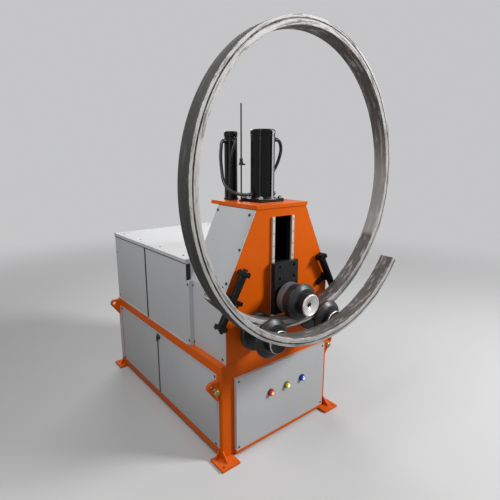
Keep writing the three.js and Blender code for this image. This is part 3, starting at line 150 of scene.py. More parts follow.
class Shape:
    """A bmesh with the operators that shape the machine's pieces. Sizes are in millimetres."""

    def __init__(self, node: str = "") -> None:
        """Starts an empty shape with a layer for its rounded edges, where a finish paints a paler tone:
        partly scuffing, partly painted edge highlight.

        Args:
            node: the CAD node that its piece replaces.
        """
        self.node = node
        self.bm = bmesh.new()
        self.edge_mark = self.bm.faces.layers.float.new(EDGE_LAYER)

    def take(self, mesh: bpy.types.Mesh) -> None:
        """Adds a mesh and removes it from the file.

        Args:
            mesh: the mesh.
        """
        self.bm.from_mesh(mesh)
        self.edge_mark = self.bm.faces.layers.float[EDGE_LAYER]
        bpy.data.meshes.remove(mesh)

    @classmethod
    def copy_of(cls, node: str, width: float) -> "Shape":
        """Merges a copy of a CAD node and rounds its corners.

        Args:
            node: the node's name.
            width: how far the rounding reaches.

        Returns:
            The shape, whose piece replaces the node.
        """
        shape = cls(node)
        bm = shape.bm
        shape.take(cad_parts[node].data.copy())
        bmesh.ops.remove_doubles(bm, verts=bm.verts[:], dist=WELD_DISTANCE)
        bmesh.ops.dissolve_limit(bm, angle_limit=FLAT_ANGLE, verts=bm.verts[:], edges=bm.edges[:])
        bmesh.ops.recalc_face_normals(bm, faces=bm.faces[:])
        for face in bm.faces:
            face.material_index = 0
        return shape.soften(width)

    def box(self, first: Point, second: Point, place: Matrix | None = None) -> "Shape":
        """Adds a block between two opposite corners.

        Args:
            first: one corner.
            second: the corner across from it.
            place: a local frame, or None where the corners are drawing millimetres.

        Returns:
            This shape.
        """
        start, end = Vector(first), Vector(second)
        size = [abs(part) * MM for part in end - start]
        home = Matrix.Translation(spot(0, 0, 0)) if place is None else place
        centre = moved(home, *(start + end) / 2)
        bmesh.ops.create_cube(self.bm, size=1, matrix=centre @ Matrix.Diagonal((*size, 1)))
        return self

    def turned(self, profile: Sequence[Pair], place: Matrix, sides: int = 32) -> "Shape":
        """Adds a piece turned on the local Z axis.

        Args:
            profile: pairs of radius and length. One with both ends off the axis is a closed ring.
            place: the local frame.
            sides: how many faces go round.

        Returns:
            This shape.
        """
        bm = bmesh.new()
        verts = [bm.verts.new((radius * MM, 0, along * MM)) for radius, along in profile]
        closing = verts[:1] if profile[0][0] and profile[-1][0] else []
        for start, end in zip(verts, verts[1:] + closing):
            bm.edges.new((start, end))
        bmesh.ops.spin(
            bm, geom=bm.verts[:] + bm.edges[:], cent=(0, 0, 0), axis=(0, 0, 1),
            angle=math.tau, steps=sides, use_merge=True,
        )
        bmesh.ops.remove_doubles(bm, verts=bm.verts[:], dist=SEAM_DISTANCE)
        bmesh.ops.recalc_face_normals(bm, faces=bm.faces[:])
        bmesh.ops.transform(bm, matrix=place, verts=bm.verts[:])
        carrier = bpy.data.meshes.new("carrier")
        bm.to_mesh(carrier)
        bm.free()
        self.take(carrier)
        return self

    def rod(self, start: Vector, end: Vector, radius: float, sides: int) -> "Shape":
        """Adds a round bar with rounded ends.

        Args:
            start: one end, in the row's metres.
            end: the other end.
            radius: its radius.
            sides: how many faces go round.

        Returns:
            This shape.
        """
        length = (end - start).length / MM
        lip = min(radius * 0.25, 1.2)
        profile = [
            (0, 0), (radius - lip, 0), (radius, lip),
            (radius, length - lip), (radius - lip, length), (0, length),
        ]
        return self.turned(profile, aim(start, end - start), sides)

    def nut(self, place: Matrix, across: float, height: float) -> "Shape":
        """Adds a hexagon nut or bolt head.

        Args:
            place: the local frame under the nut, with Z along its bolt.
            across: its size across the flats.
            height: its height.

        Returns:
            This shape.
        """
        radius = across / math.sqrt(3) * MM
        lift = moved(place, 0, 0, height / 2)
        made = bmesh.ops.create_cone(
            self.bm, cap_ends=True, segments=6, radius1=radius, radius2=radius,
            depth=height * MM, matrix=lift,
        )
        top = place.to_3x3() @ UP
        rims = dict.fromkeys(
            edge for vert in made["verts"] for edge in vert.link_edges
            if all((end.co - lift.translation).dot(top) > 0 for end in edge.verts)
        )
        bmesh.ops.bevel(
            self.bm, geom=list(rims), offset=radius * 0.14, segments=1, profile=0.5,
            affect="EDGES", material=-1, clamp_overlap=True,
        )
        return self

    def button_screw(self, place: Matrix, radius: float = 5.5) -> "Shape":
        """Adds a button head screw on its washer.

        Args:
            place: the local frame on the surface.
            radius: the head's radius.

        Returns:
            This shape.
        """
        head = radius * 0.55
        profile = [
            (radius * 1.35, 0), (radius * 1.35, 0.8), (radius, 0.8), (radius * 0.92, head * 0.6),
            (radius * 0.62, head), (radius * 0.4, head + 0.3), (radius * 0.36, head * 0.4), (0, head * 0.4),
        ]
        return self.turned(profile, place, 12)

    def socket_screw(self, place: Matrix, radius: float, height: float) -> "Shape":
        """Adds a cylinder head screw with a socket.

        Args:
            place: the local frame on the surface.
            radius: the head's radius.
            height: the head's height.

        Returns:
            This shape.
        """
        profile = [
            (radius, 0), (radius, height * 0.85), (radius * 0.88, height),
            (radius * 0.52, height), (radius * 0.5, height * 0.35), (0, height * 0.3),
        ]
        return self.turned(profile, place, 20)

    def bead(self, first: Point, last: Point, radius: float) -> "Shape":
        """Adds a rippled weld bead between two points.

        Args:
            first: one end, in drawing millimetres.
            last: the other end.
            radius: how far the bead stands out of its corner.

        Returns:
            This shape.
        """
        start, end = spot(*first), spot(*last)
        tip, valley, crest = 0.6, 0.82, 1.0
        steps = max(4, round((end - start).length / (radius * 0.55 * MM)))
        made = bmesh.ops.create_circle(
            self.bm, cap_ends=True, segments=8, radius=radius * MM * tip, matrix=aim(start, end - start),
        )
        edges = list(dict.fromkeys(edge for vert in made["verts"] for edge in vert.link_edges))
        hop = (end - start) / steps
        centre = start.copy()
        wide = tip
        for step in range(steps):
            verts, edges = drawn_out(self.bm, edges)
            target = tip if step == steps - 1 else (crest if step % 2 else valley)
            bmesh.ops.translate(self.bm, verts=verts, vec=hop)
            centre = centre + hop
            bmesh.ops.scale(
                self.bm, verts=verts, vec=(target / wide,) * 3, space=Matrix.Translation(-centre),
            )
            wide = target
        bmesh.ops.contextual_create(self.bm, geom=edges)
        return self

    def tube(self, points: Sequence[Point], radius: float) -> "Shape":
        """Adds a hose that runs smoothly through points.

        Args:
            points: the route, in drawing millimetres.
            radius: its radius.

        Returns:
            This shape.
        """
        curve = bpy.data.curves.new("route", "CURVE")
        curve.dimensions = "3D"
        curve.resolution_u = 10
        curve.bevel_depth = radius * MM
        curve.bevel_resolution = 3
        curve.use_fill_caps = True
        spline = curve.splines.new("BEZIER")
        spline.bezier_points.add(len(points) - 1)
        for knot, point in zip(spline.bezier_points, points):
            knot.co = spot(*point)
            knot.handle_left_type = knot.handle_right_type = "AUTO"
        carrier = bpy.data.objects.new("route", curve)
        bpy.context.scene.collection.objects.link(carrier)
        seen = carrier.evaluated_get(bpy.context.evaluated_depsgraph_get())
        self.take(bpy.data.meshes.new_from_object(seen))
        bpy.data.objects.remove(carrier)
        bpy.data.curves.remove(curve)
        bmesh.ops.remove_doubles(self.bm, verts=self.bm.verts[:], dist=SEAM_DISTANCE)
        return self

    def soften(self, width: float) -> "Shape":
        """Rounds the corners and marks the new narrow faces, where a finish paints its paler edge tone:
        partly scuffing, partly painted edge highlight.

        Args:
            width: how far the rounding reaches from the corner.

        Returns:
            This shape.
        """
        corners = [
            edge for edge in self.bm.edges
            if len(edge.link_faces) == 2 and edge.calc_face_angle(0) > CORNER_ANGLE
        ]
        made = bmesh.ops.bevel(
            self.bm, geom=corners, offset=width * MM, offset_type="OFFSET", segments=2,
            profile=0.5, affect="EDGES", clamp_overlap=True, material=-1,
        )
        for face in made["faces"]:
            face[self.edge_mark] = 1
        return self

    def colour(self, where: Callable[[Vector, Vector], bool]) -> "Shape":
        """Gives the piece's second finish to the faces that a test picks.

        Args:
            where: a test of a face's centre, in drawing millimetres, and its normal.

        Returns:
            This shape.
        """
        home = spot(0, 0, 0)
        for face in self.bm.faces:
            if where((face.calc_center_median() - home) / MM, face.normal):
                face.material_index = 1
        return self

    def dress(
        self, name: str, *finishes: "Finish", body: Body = Body.MACHINE,
        slot: Slot | None = None, node: str = "",
    ) -> None:
        """Makes the finished object, gives it its finish and ties it to its body.

        Args:
            name: the piece's name.
            finishes: its finishes, in the order of the faces' indices.
            body: the body that it rides on.
            slot: not used.
            node: the CAD node that it replaces, where it isn't a copy of one.
        """
        for face in self.bm.faces:
            face.smooth = True
        for edge in self.bm.edges:
            edge.smooth = len(edge.link_faces) == 2 and edge.calc_face_angle(0) < SHARP_ANGLE
        mesh = bpy.data.meshes.new(name)
        self.bm.to_mesh(mesh)
        self.bm.free()
        for finish in finishes:
            mesh.materials.append(finish.material())
        piece = bpy.data.objects.new(name, mesh)
        bpy.context.scene.collection.objects.link(piece)
        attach(piece, body.value)
        if node or self.node:
            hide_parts(node or self.node)
        LOG.info("%s: %d faces on %s", name, len(mesh.polygons), body.value)


def drawn_out(bm: bmesh.types.BMesh, edges: list) -> tuple[list, list]:
    """Extrudes a loop of edges in place.

    Args:
        bm: the mesh.
        edges: the loop.

    Returns:
        The new loop's corners and edges.
    """
    out = bmesh.ops.extrude_edge_only(bm, edges=edges)["geom"]
    verts = [item for item in out if isinstance(item, bmesh.types.BMVert)]
    fresh = set(verts)
    return verts, [item for item in out if isinstance(item, bmesh.types.BMEdge) and set(item.verts) <= fresh]


class Graph:
    """Adds nodes to a material or to a node group and joins them."""

    def __init__(self, tree: bpy.types.NodeTree) -> None:
        """Works on one node tree."""
        self.tree = tree

    @classmethod
    def emptied(cls, owner: bpy.types.Material | bpy.types.World) -> "Graph":
        """Works on the emptied tree of a material or a world.

        Args:
            owner: the material or world.

        Returns:
            The graph.
        """
        owner.use_nodes = True
        owner.node_tree.nodes.clear()
        return cls(owner.node_tree)

    def feed(self, socket: Socket, value: object) -> None:
        """Joins a socket to another node's output, or sets its number or colour.

        Args:
            socket: the socket.
            value: an output, a number, a vector or a colour of three parts.
        """
        if isinstance(value, Socket):
            self.tree.links.new(value, socket)
        else:
            socket.default_value = (*value, 1) if socket.type == "RGBA" else value

    def add(self, kind: str, inputs: dict | None = None, **settings: object) -> bpy.types.Node:
        """Adds a node.

        Args:
            kind: the node's type name without its ShaderNode prefix.
            inputs: sockets by name or index, each a value or another node's output.
            settings: the node's own properties.

        Returns:
            The node.
        """
        node = self.tree.nodes.new("ShaderNode" + kind)
        for key, value in settings.items():
            setattr(node, key, value)
        for key, value in (inputs or {}).items():
            self.feed(node.inputs[key], value)
        return node

    def math(self, operation: str, *values: object) -> Socket:
        """Adds a Math node for numbers or outputs."""
        return self.add("Math", dict(enumerate(values)), operation=operation).outputs[0]

    def times(self, first: object, second: object) -> Socket:
        """Multiplies two values."""
        return self.math("MULTIPLY", first, second)

    def noise(self, vector: Socket, scale: object, detail: float = 3, roughness: float = 0.55) -> Socket:
        """Adds a Noise Texture that gives a value between 0 and 1."""
        inputs = {"Vector": vector, "Scale": scale, "Detail": detail, "Roughness": roughness}
        return self.add("TexNoise", inputs).outputs["Fac"]

    def stretch(self, vector: Socket, scale: Point) -> Socket:
        """Scales coordinates by different amounts along their axes."""
        return self.add("VectorMath", {0: vector, 1: scale}, operation="MULTIPLY").outputs[0]

    def window(self, value: Socket, low: float, high: float) -> Socket:
        """Spreads a band of values from 0 to 1 with soft ends."""
        inputs = {"Value": value, "From Min": low, "From Max": high}
        return self.add("MapRange", inputs, interpolation_type="SMOOTHSTEP").outputs[0]

    def spread(self, value: Socket, low: float, high: float) -> Socket:
        """Turns 0 to 1 into another range."""
        return self.add("MapRange", {"Value": value, "To Min": low, "To Max": high}).outputs[0]

    def mix(self, mask: object, first: object, second: object) -> Socket:
        """Mixes two colours: the mask says how much of the second shows."""
        return self.add("Mix", {0: mask, 6: first, 7: second}, data_type="RGBA").outputs[2]

    def bump(self, height: Socket, distance: float) -> Socket:
        """Adds a Bump node whose depth is in millimetres."""
        return self.add("Bump", {"Height": height, "Distance": distance * MM}).outputs[0]

    def mark(self, layer: str) -> Socket:
        """Reads a number that the mesh carries."""
        return self.add("Attribute", attribute_name=layer).outputs["Fac"]


class Effect:
    """A shared effect: a node group with named inputs and outputs, built once."""

    name = ""
    takes: dict[str, object] = {}
    gives: tuple[str, ...] = ()

    @classmethod
    def tree(cls) -> bpy.types.NodeTree:
        """Finds the group, or builds it the first time.

        Returns:
            The node group.
        """
        known = bpy.data.node_groups.get(cls.name)
        if known:
            return known
        tree = bpy.data.node_groups.new(cls.name, "ShaderNodeTree")
        for label, value in cls.takes.items():
            kind = value if isinstance(value, str) else "Float"
            socket = tree.interface.new_socket(label, in_out="INPUT", socket_type="NodeSocket" + kind)
            if kind == "Float":
                socket.default_value = value
        for label in cls.gives:
            kind = "Color" if label == "Color" else "Float"
            tree.interface.new_socket(label, in_out="OUTPUT", socket_type="NodeSocket" + kind)
        entry = tree.nodes.new("NodeGroupInput")
        results = cls.work(Graph(tree), entry.outputs)
        leave = tree.nodes.new("NodeGroupOutput")
        for label, output in results.items():
            tree.links.new(output, leave.inputs[label])
        return tree

    @classmethod
    def work(cls, graph: Graph, given: bpy.types.NodeOutputs) -> dict[str, Socket]:
        """Builds the inside of the group."""
        raise NotImplementedError

    @classmethod
    def put(cls, graph: Graph, **values: object) -> bpy.types.NodeOutputs:
        """Places the effect in a material, with its inputs by name, and returns its outputs."""
        return graph.add("Group", values, node_tree=cls.tree()).outputs


class EnamelField(Effect):
    """Sprayed enamel: slow changes of tone, faint grime, scuffs and orange peel."""

    name = "enamel_field"
    takes = {"Vector": "Vector", "Paint": "Color", "Shade": "Color", "Gloss": 0.4, "Grime": 0.3}
    gives = ("Color", "Roughness", "Height")

    @classmethod
    def work(cls, graph: Graph, given: bpy.types.NodeOutputs) -> dict[str, Socket]:
        """Builds the enamel's tone, gloss and peel.

        Args:
            graph: the group's tree.
            given: the group's inputs.

        Returns:
            Color, Roughness and Height.
        """
        vector = given["Vector"]
        slow = graph.window(graph.noise(vector, 1.6, 2), 0.3, 0.75)
        cloud = graph.window(graph.noise(vector, 11, 6, 0.65), 0.5, 0.8)
        tone = graph.math("MULTIPLY_ADD", slow, 0.35, graph.times(cloud, given["Grime"]))
        fine = graph.noise(vector, 240, 2)
        tone = graph.math("MULTIPLY_ADD", graph.math("SUBTRACT", fine, 0.5), 0.12, tone)
        scratch = graph.noise(graph.stretch(vector, (30, 30, 420)), 1, 2)
        rough = graph.math("MULTIPLY_ADD", graph.window(scratch, 0.68, 0.8), 0.12, given["Gloss"])
        return {
            "Color": graph.mix(tone, given["Paint"], given["Shade"]),
            "Roughness": graph.math("MULTIPLY_ADD", cloud, 0.1, rough),
            "Height": graph.noise(vector, 520, 2),
        }


class EdgeWearAndHighlight(Effect):
    """The paler tone along the rounded corners: partly paint and black finish scuffed thin, partly painted
    edge highlight.
    """

    name = "edge_wear_and_highlight"
    takes = {"Vector": "Vector", "Edge": 0.0, "Amount": 0.5}
    gives = ("Mask",)

    @classmethod
    def work(cls, graph: Graph, given: bpy.types.NodeOutputs) -> dict[str, Socket]:
        """Breaks the corner mark up with noise: Mask."""
        broken = graph.window(graph.noise(given["Vector"], 38, 5, 0.7), 0.42, 0.66)
        return {"Mask": graph.times(graph.times(given["Edge"], broken), given["Amount"])}


class TurningMarks(Effect):
    """The fine rings that a lathe leaves round the local Y axis."""

    name = "turning_marks"
    takes = {"Vector": "Vector", "Pitch": 700.0}
    gives = ("Height", "Tone")

    @classmethod
    def work(cls, graph: Graph, given: bpy.types.NodeOutputs) -> dict[str, Socket]:
        """Reads noise along the radius and the length only.

        Args:
            graph: the group's tree.
            given: the group's inputs.

        Returns:
            Height and Tone.
        """
        parts = graph.add("SeparateXYZ", {0: given["Vector"]}).outputs
        squares = (graph.math("POWER", parts[0], 2.0), graph.math("POWER", parts[2], 2.0))
        radius = graph.math("SQRT", graph.math("ADD", *squares))
        turn = graph.times(graph.math("ARCTAN2", parts[0], parts[2]), 0.0004)
        line = graph.add("CombineXYZ", {0: radius, 1: parts[1], 2: turn}).outputs[0]
        fine = graph.add("TexNoise", {"Vector": line, "Scale": given["Pitch"], "Detail": 2.0}).outputs["Fac"]
        return {"Height": fine, "Tone": graph.window(graph.noise(line, 90), 0.35, 0.7)}


class ScaleField(Effect):
    """Rolled steel along its sweep: scale patches, rub lines and brown stains."""

    name = "scale_field"
    takes = {
        "Vector": "Vector", "Sweep": 0.0, "Across": 0.0, "Clean": "Color", "Scale": "Color", "Stain": "Color",
        "Cover": 0.5, "Stained": 0.4,
    }
    gives = ("Color", "Patch", "Height")

    @classmethod
    def work(cls, graph: Graph, given: bpy.types.NodeOutputs) -> dict[str, Socket]:
        """Builds patches that are drawn out along the bent bar.

        Args:
            graph: the group's tree.
            given: the group's inputs.

        Returns:
            Color, Patch and Height.
        """
        along = graph.add("CombineXYZ", {0: given["Sweep"], 1: given["Across"], 2: 0.0}).outputs[0]
        rub = graph.noise(graph.stretch(along, (7, 420, 1)), 1, 4, 0.6)
        drawn = graph.noise(graph.stretch(along, (9, 46, 1)), 1, 5, 0.65)
        patch = graph.math("ADD", drawn, graph.math("MULTIPLY_ADD", given["Cover"], 0.6, -0.3))
        patch = graph.window(patch, 0.42, 0.6)
        colour = graph.mix(patch, given["Clean"], given["Scale"])
        blot = graph.window(graph.noise(given["Vector"], 14, 6, 0.7), 0.5, 0.72)
        colour = graph.mix(graph.times(blot, given["Stained"]), colour, given["Stain"])
        lines = graph.times(graph.window(rub, 0.35, 0.72), 0.45)
        colour = graph.mix(lines, colour, graph.mix(0.55, colour, given["Clean"]))
        height = graph.math("MULTIPLY_ADD", rub, 0.5, graph.times(patch, 0.5))
        return {"Color": colour, "Patch": patch, "Height": height}


class DustFall(Effect):
    """Dust that settles on faces that look up."""

    name = "dust_fall"
    takes = {"Vector": "Vector", "Amount": 0.3}
    gives = ("Mask",)

    @classmethod
    def work(cls, graph: Graph, given: bpy.types.NodeOutputs) -> dict[str, Socket]:
        """Mixes how level a face is with a patchy noise.

        Args:
            graph: the group's tree.
            given: the group's inputs.

        Returns:
            Mask.
        """
        normal = graph.add("NewGeometry").outputs["Normal"]
        level = graph.window(graph.add("SeparateXYZ", {0: normal}).outputs[2], 0.6, 0.98)
        patchy = graph.window(graph.noise(given["Vector"], 6, 6, 0.7), 0.3, 0.75)
        return {"Mask": graph.times(graph.times(level, patchy), given["Amount"])}


class Finish:
    """What every finish shares: one material, made the first time it is asked for."""

    name: str
    slot: Slot

    def material(self) -> bpy.types.Material:
        """Finds the material, or builds it the first time.

        Returns:
            The material.
        """
        known = bpy.data.materials.get("finish_" + self.name)
        if known:
            return known
        made = bpy.data.materials.new("finish_" + self.name)
        graph = Graph.emptied(made)
        place = graph.add("TexCoord").outputs["Object"]
        shader = graph.add("BsdfPrincipled", self.sockets(graph, place))
        graph.add("OutputMaterial", {0: shader.outputs[0]})
        return made

    def sockets(self, graph: Graph, place: Socket) -> dict[str, object]:
        """Says what goes into the shader's sockets, from the tree and the object coordinates."""
        raise NotImplementedError

    @staticmethod
    def wear_and_highlight_mask(graph: Graph, place: Socket, amount: float) -> Socket:
        """Gives the mask of the paler rounded corners: partly scuffing, partly painted edge highlight."""
        return EdgeWearAndHighlight.put(graph, Vector=place, Edge=graph.mark(EDGE_LAYER), Amount=amount)["Mask"]


@dataclass(frozen=True)
class PaintFinish(Finish):
    """A sprayed enamel."""

    name: str
    slot: Slot
    paint: Colour
    shade: Colour
    wear_and_highlight_tone: Colour
    gloss: float
    grime: float = 0.25
    wear_and_highlight: float = 0.5
    dust: float = 0.1
    dust_tone: Colour = (0.62, 0.6, 0.56)
    peel: float = 0.05
    coat: float = 0.0
    specular: float = 0.5

    def sockets(self, graph: Graph, place: Socket) -> dict[str, object]:
        """Says what goes into the shader.

        Args:
            graph: the material's tree.
            place: the object coordinates.

        Returns:
            Values and outputs by the shader's socket.
        """
        enamel = EnamelField.put(
            graph, Vector=place, Paint=self.paint, Shade=self.shade, Gloss=self.gloss, Grime=self.grime,
        )
        dust = DustFall.put(graph, Vector=place, Amount=self.dust)["Mask"]
        # Paler tone on the rounded edges: partly scuffed enamel, partly painted edge highlight.
        colour = graph.mix(self.wear_and_highlight_mask(graph, place, self.wear_and_highlight), enamel["Color"], self.wear_and_highlight_tone)
        return {
            "Base Color": graph.mix(dust, colour, self.dust_tone),
            "Roughness": graph.math("MULTIPLY_ADD", dust, 0.3, enamel["Roughness"]),
            "Coat Weight": self.coat,
            "Coat Roughness": 0.12,
            "Specular IOR Level": self.specular,
            "Normal": graph.bump(enamel["Height"], self.peel),
        }


@dataclass(frozen=True)
class TurnedFinish(Finish):
    """Steel that came off a lathe, with its rings round a line along the Y axis."""

    name: str
    slot: Slot
    steel: Colour
    deep: Colour
    rough: float
    metal: float
    centre: Point = (0, 0, 0)
    marks: float = 0.04
    wear_and_highlight: float = 0.6
    wear_and_highlight_tone: Colour = (0.42, 0.41, 0.4)
    specular: float = 0.5
    lighter_band: Pair | None = None
    highlight_band_steel: Colour = (0.2, 0.212, 0.225)
    fade: float = 0.004

    def sockets(self, graph: Graph, place: Socket) -> dict[str, object]:
        """Says what goes into the shader.

        Args:
            graph: the material's tree.
            place: the object coordinates.

        Returns:
            Values and outputs by the shader's socket.
        """
        centre = tuple(spot(*self.centre))
        local = graph.add("VectorMath", {0: place, 1: centre}, operation="SUBTRACT").outputs[0]
        marks = TurningMarks.put(graph, Vector=local)
        smudge = graph.window(graph.noise(place, 26, 5, 0.65), 0.4, 0.75)
        colour = graph.mix(graph.times(marks["Tone"], 0.5), self.steel, self.deep)
        colour = graph.mix(graph.times(smudge, 0.35), colour, self.deep)
        # Paler tone on the rounded edges: partly bare steel showing through, partly painted edge highlight.
        colour = graph.mix(self.wear_and_highlight_mask(graph, place, self.wear_and_highlight), colour, self.wear_and_highlight_tone)
        # A lighter steel band round the drum where the section runs: partly polish from the section, partly
        # painted highlight standing in for the lit top of a flange.
        if self.lighter_band:
            along = graph.add("SeparateXYZ", {0: place}).outputs[1]
            rear, front = (spot(0, y, 0).y for y in self.lighter_band)
            behind = graph.window(along, rear, rear - self.fade)
            before = graph.window(along, front, front + self.fade)
            colour = graph.mix(graph.times(graph.times(behind, before), 0.8), colour, self.highlight_band_steel)
        return {
            "Base Color": colour,
            "Metallic": self.metal,
            "Specular IOR Level": self.specular,
            "Roughness": graph.spread(smudge, self.rough, self.rough + 0.16),
            "Normal": graph.bump(marks["Height"], self.marks),
        }


@dataclass(frozen=True)
class SteelFinish(Finish):
    """Flat ground or forged steel, zinc and chrome."""

    name: str
    slot: Slot
    steel: Colour
    deep: Colour
    rough: float
    metal: float = 1.0
    grain: Point = (60, 60, 900)
    depth: float = 0.03
    stained: float = 0.35
    specular: float = 0.5

    def sockets(self, graph: Graph, place: Socket) -> dict[str, object]:
        """Says what goes into the shader.

        Args:
            graph: the material's tree.
            place: the object coordinates.

        Returns:
            Values and outputs by the shader's socket.
        """
        grain = graph.noise(graph.stretch(place, self.grain), 1)
        smudge = graph.window(graph.noise(place, 31, 6, 0.7), 0.42, 0.72)
        tone = graph.math("MULTIPLY_ADD", smudge, self.stained, graph.times(grain, 0.3))
        return {
            "Base Color": graph.mix(tone, self.steel, self.deep),
            "Metallic": self.metal,
            "Specular IOR Level": self.specular,
            "Roughness": graph.spread(smudge, self.rough, self.rough + 0.14),
            "Normal": graph.bump(grain, self.depth),
        }


@dataclass(frozen=True)
class ScaleFinish(Finish):
    """One face of the bent section, with its pressed seams or its lighter band."""

    name: str
    clean: Colour
    scale: Colour
    stain: Colour
    rough: float
    metal: float
    cover: float
    stained: float
    band: Pair | None = None
    seams: tuple[Pair, ...] = ()
    seam_tone: Colour = (0.03, 0.028, 0.027)
    wear_and_highlight_tone: Colour = (0.56, 0.55, 0.53)
    wear_and_highlight: float = 0.8
    slot: Slot = Slot.ROLLED

    def sockets(self, graph: Graph, place: Socket) -> dict[str, object]:
        """Says what goes into the shader.

        Args:
            graph: the material's tree.
            place: the object coordinates.

        Returns:
            Values and outputs by the shader's socket.
        """
        sweep, across = graph.mark(SWEEP_LAYER), graph.mark(ACROSS_LAYER)
        rolled = ScaleField.put(
            graph, Vector=place, Sweep=sweep, Across=across, Clean=self.clean,
            Scale=self.scale, Stain=self.stain, Cover=self.cover, Stained=self.stained,
        )
        colour = rolled["Color"]
        for middle, half in self.seams:
            seam = graph.math("COMPARE", across, middle, half)
            broken = graph.window(graph.noise(graph.stretch(place, (13, 13, 9)), 1, 6, 0.72), 0.4, 0.52)
            colour = graph.mix(graph.times(seam, graph.spread(broken, 0.3, 0.92)), colour, self.seam_tone)
        if self.band:
            start, end = self.band
            fall = graph.math("SUBTRACT", 1.0, graph.window(sweep, end, end + 0.3))
            lighter_band = graph.times(graph.window(sweep, start, start + 0.03), fall)
            colour = graph.mix(graph.times(lighter_band, 0.7), colour, self.clean)
        # The paler rounded edges are partly scale scuffed off, partly painted edge highlight.
        return {
            "Base Color": graph.mix(self.wear_and_highlight_mask(graph, place, self.wear_and_highlight), colour, self.wear_and_highlight_tone),
            "Metallic": self.metal,
            "Roughness": graph.spread(rolled["Patch"], self.rough, self.rough + 0.2),
            "Normal": graph.bump(rolled["Height"], 0.12),
        }


@dataclass(frozen=True)
class RubberFinish(Finish):
    """Hose cover with a fine braid print."""

    name: str = "hose_cover"
    slot: Slot = Slot.HOSE
    rubber: Colour = (0.012, 0.012, 0.013)
    wear_and_highlight_tone: Colour = (0.05, 0.05, 0.052)

    def sockets(self, graph: Graph, place: Socket) -> dict[str, object]:
        """Says what goes into the shader.

        Args:
            graph: the material's tree.
            place: the object coordinates.

        Returns:
            Values and outputs by the shader's socket.
        """
        braid = graph.add("TexVoronoi", {"Vector": place, "Scale": 420.0}).outputs["Distance"]
        rub = graph.window(graph.noise(place, 60, 5, 0.7), 0.5, 0.8)
        return {
            "Base Color": graph.mix(rub, self.rubber, self.wear_and_highlight_tone),
            "Roughness": graph.spread(rub, 0.36, 0.6),
            "Normal": graph.bump(braid, 0.25),
        }


@dataclass(frozen=True)
class LensFinish(Finish):
    """A lit pilot lamp lens."""

    name: str
    slot: Slot
    tint: Colour
    glow: Colour
    core: Point
    lit: Pair = (0.0125, 0.004)
    strength: float = 1.1
    coat: float = 0.5

    def sockets(self, graph: Graph, place: Socket) -> dict[str, object]:
        """Says what goes into the shader.

        Args:
            graph: the material's tree.
            place: the object coordinates.

        Returns:
            Values and outputs by the shader's socket.
        """
        core = tuple(spot(*self.core))
        reach = graph.add("VectorMath", {0: place, 1: core}, operation="DISTANCE").outputs["Value"]
        heart = graph.window(reach, *self.lit)
        ribs = graph.noise(graph.stretch(place, (500, 80, 500)), 1, 2)
        tint = graph.mix(graph.times(ribs, 0.25), self.tint, dim(self.tint, 0.5))
        return {
            "Base Color": graph.mix(graph.times(heart, 0.6), tint, self.glow),
            "Emission Color": graph.mix(heart, dim(self.tint, 0.25), self.glow),
            "Emission Strength": self.strength,
            "Roughness": graph.spread(ribs, 0.08, 0.2),
            "Coat Weight": self.coat,
            "Normal": graph.bump(ribs, 0.1),
        }


# The edge tones of these enamels are lighter shades of the paint: partly scuffing, partly painted highlight
# where the edges catch the light.
ORANGE = PaintFinish(
    "orange_enamel", Slot.ORANGE, (0.7, 0.112, 0.002), (0.55, 0.078, 0.0015), (0.8, 0.22, 0.03), 0.36,
    wear_and_highlight=0.45, dust=0.05, specular=0.1,
)
GREY = PaintFinish(
    "grey_enamel", Slot.GREY, (0.5, 0.505, 0.515), (0.43, 0.435, 0.445), (0.62, 0.62, 0.62), 0.42, wear_and_highlight=0.35,
)
BLACK = PaintFinish(
    "black_enamel", Slot.BLACK, (0.004, 0.004, 0.0045), (0.008, 0.008, 0.009), (0.04, 0.04, 0.04), 0.2,
    wear_and_highlight=0.6, dust=0.02, coat=0.04, specular=0.18,
)
CARBON = PaintFinish(
    "black_oxide", Slot.BLACK, (0.012, 0.012, 0.013), (0.022, 0.022, 0.023), (0.12, 0.12, 0.12), 0.38,
    wear_and_highlight=0.7, dust=0.02, specular=0.35,
)
# Dark tone for the door and pan joints, and for black strips of painted shade under the lid's lip and beside
# the head cover.
SEAM_AND_SHADE = PaintFinish(
    "dark_seam_and_shade", Slot.BLACK, (0.035, 0.033, 0.032), (0.02, 0.019, 0.018), (0.08, 0.08, 0.08), 0.6,
    wear_and_highlight=0.3, dust=0.0, specular=0.15,
)
# Flat black for the inside of the head: painted shade for its dark interior.
PAINTED_INNER_SHADE = PaintFinish(
    "painted_inner_shade", Slot.BLACK, (0.006, 0.006, 0.006), (0.01, 0.01, 0.01), (0.03, 0.03, 0.03), 0.7,
    wear_and_highlight=0.3, dust=0.0, specular=0.1,
)
BRIGHT = SteelFinish("ground_steel", Slot.BRIGHT, (0.62, 0.61, 0.58), (0.34, 0.33, 0.31), 0.24)
CREAM = SteelFinish("gib_bronze", Slot.BRIGHT, (0.74, 0.71, 0.62), (0.5, 0.47, 0.4), 0.34, metal=0.55)
CHROME = SteelFinish(
    "hard_chrome", Slot.CHROME, (0.78, 0.78, 0.79), (0.5, 0.5, 0.51), 0.1, depth=0.005, stained=0.15,
)
ZINC = SteelFinish("yellow_zinc", Slot.BRIGHT, (0.5, 0.4, 0.16), (0.3, 0.22, 0.08), 0.3)
BLACKENED = SteelFinish(
    "blackened_plate", Slot.DARK, (0.024, 0.025, 0.026), (0.005, 0.005, 0.006), 0.42,
    metal=0.1, stained=0.6, specular=0.15,
)
ROLLER_STEEL = TurnedFinish(
    "roller_steel", Slot.DARK, (0.036, 0.037, 0.039), (0.012, 0.012, 0.013), 0.34, 0.25, specular=0.4,
)
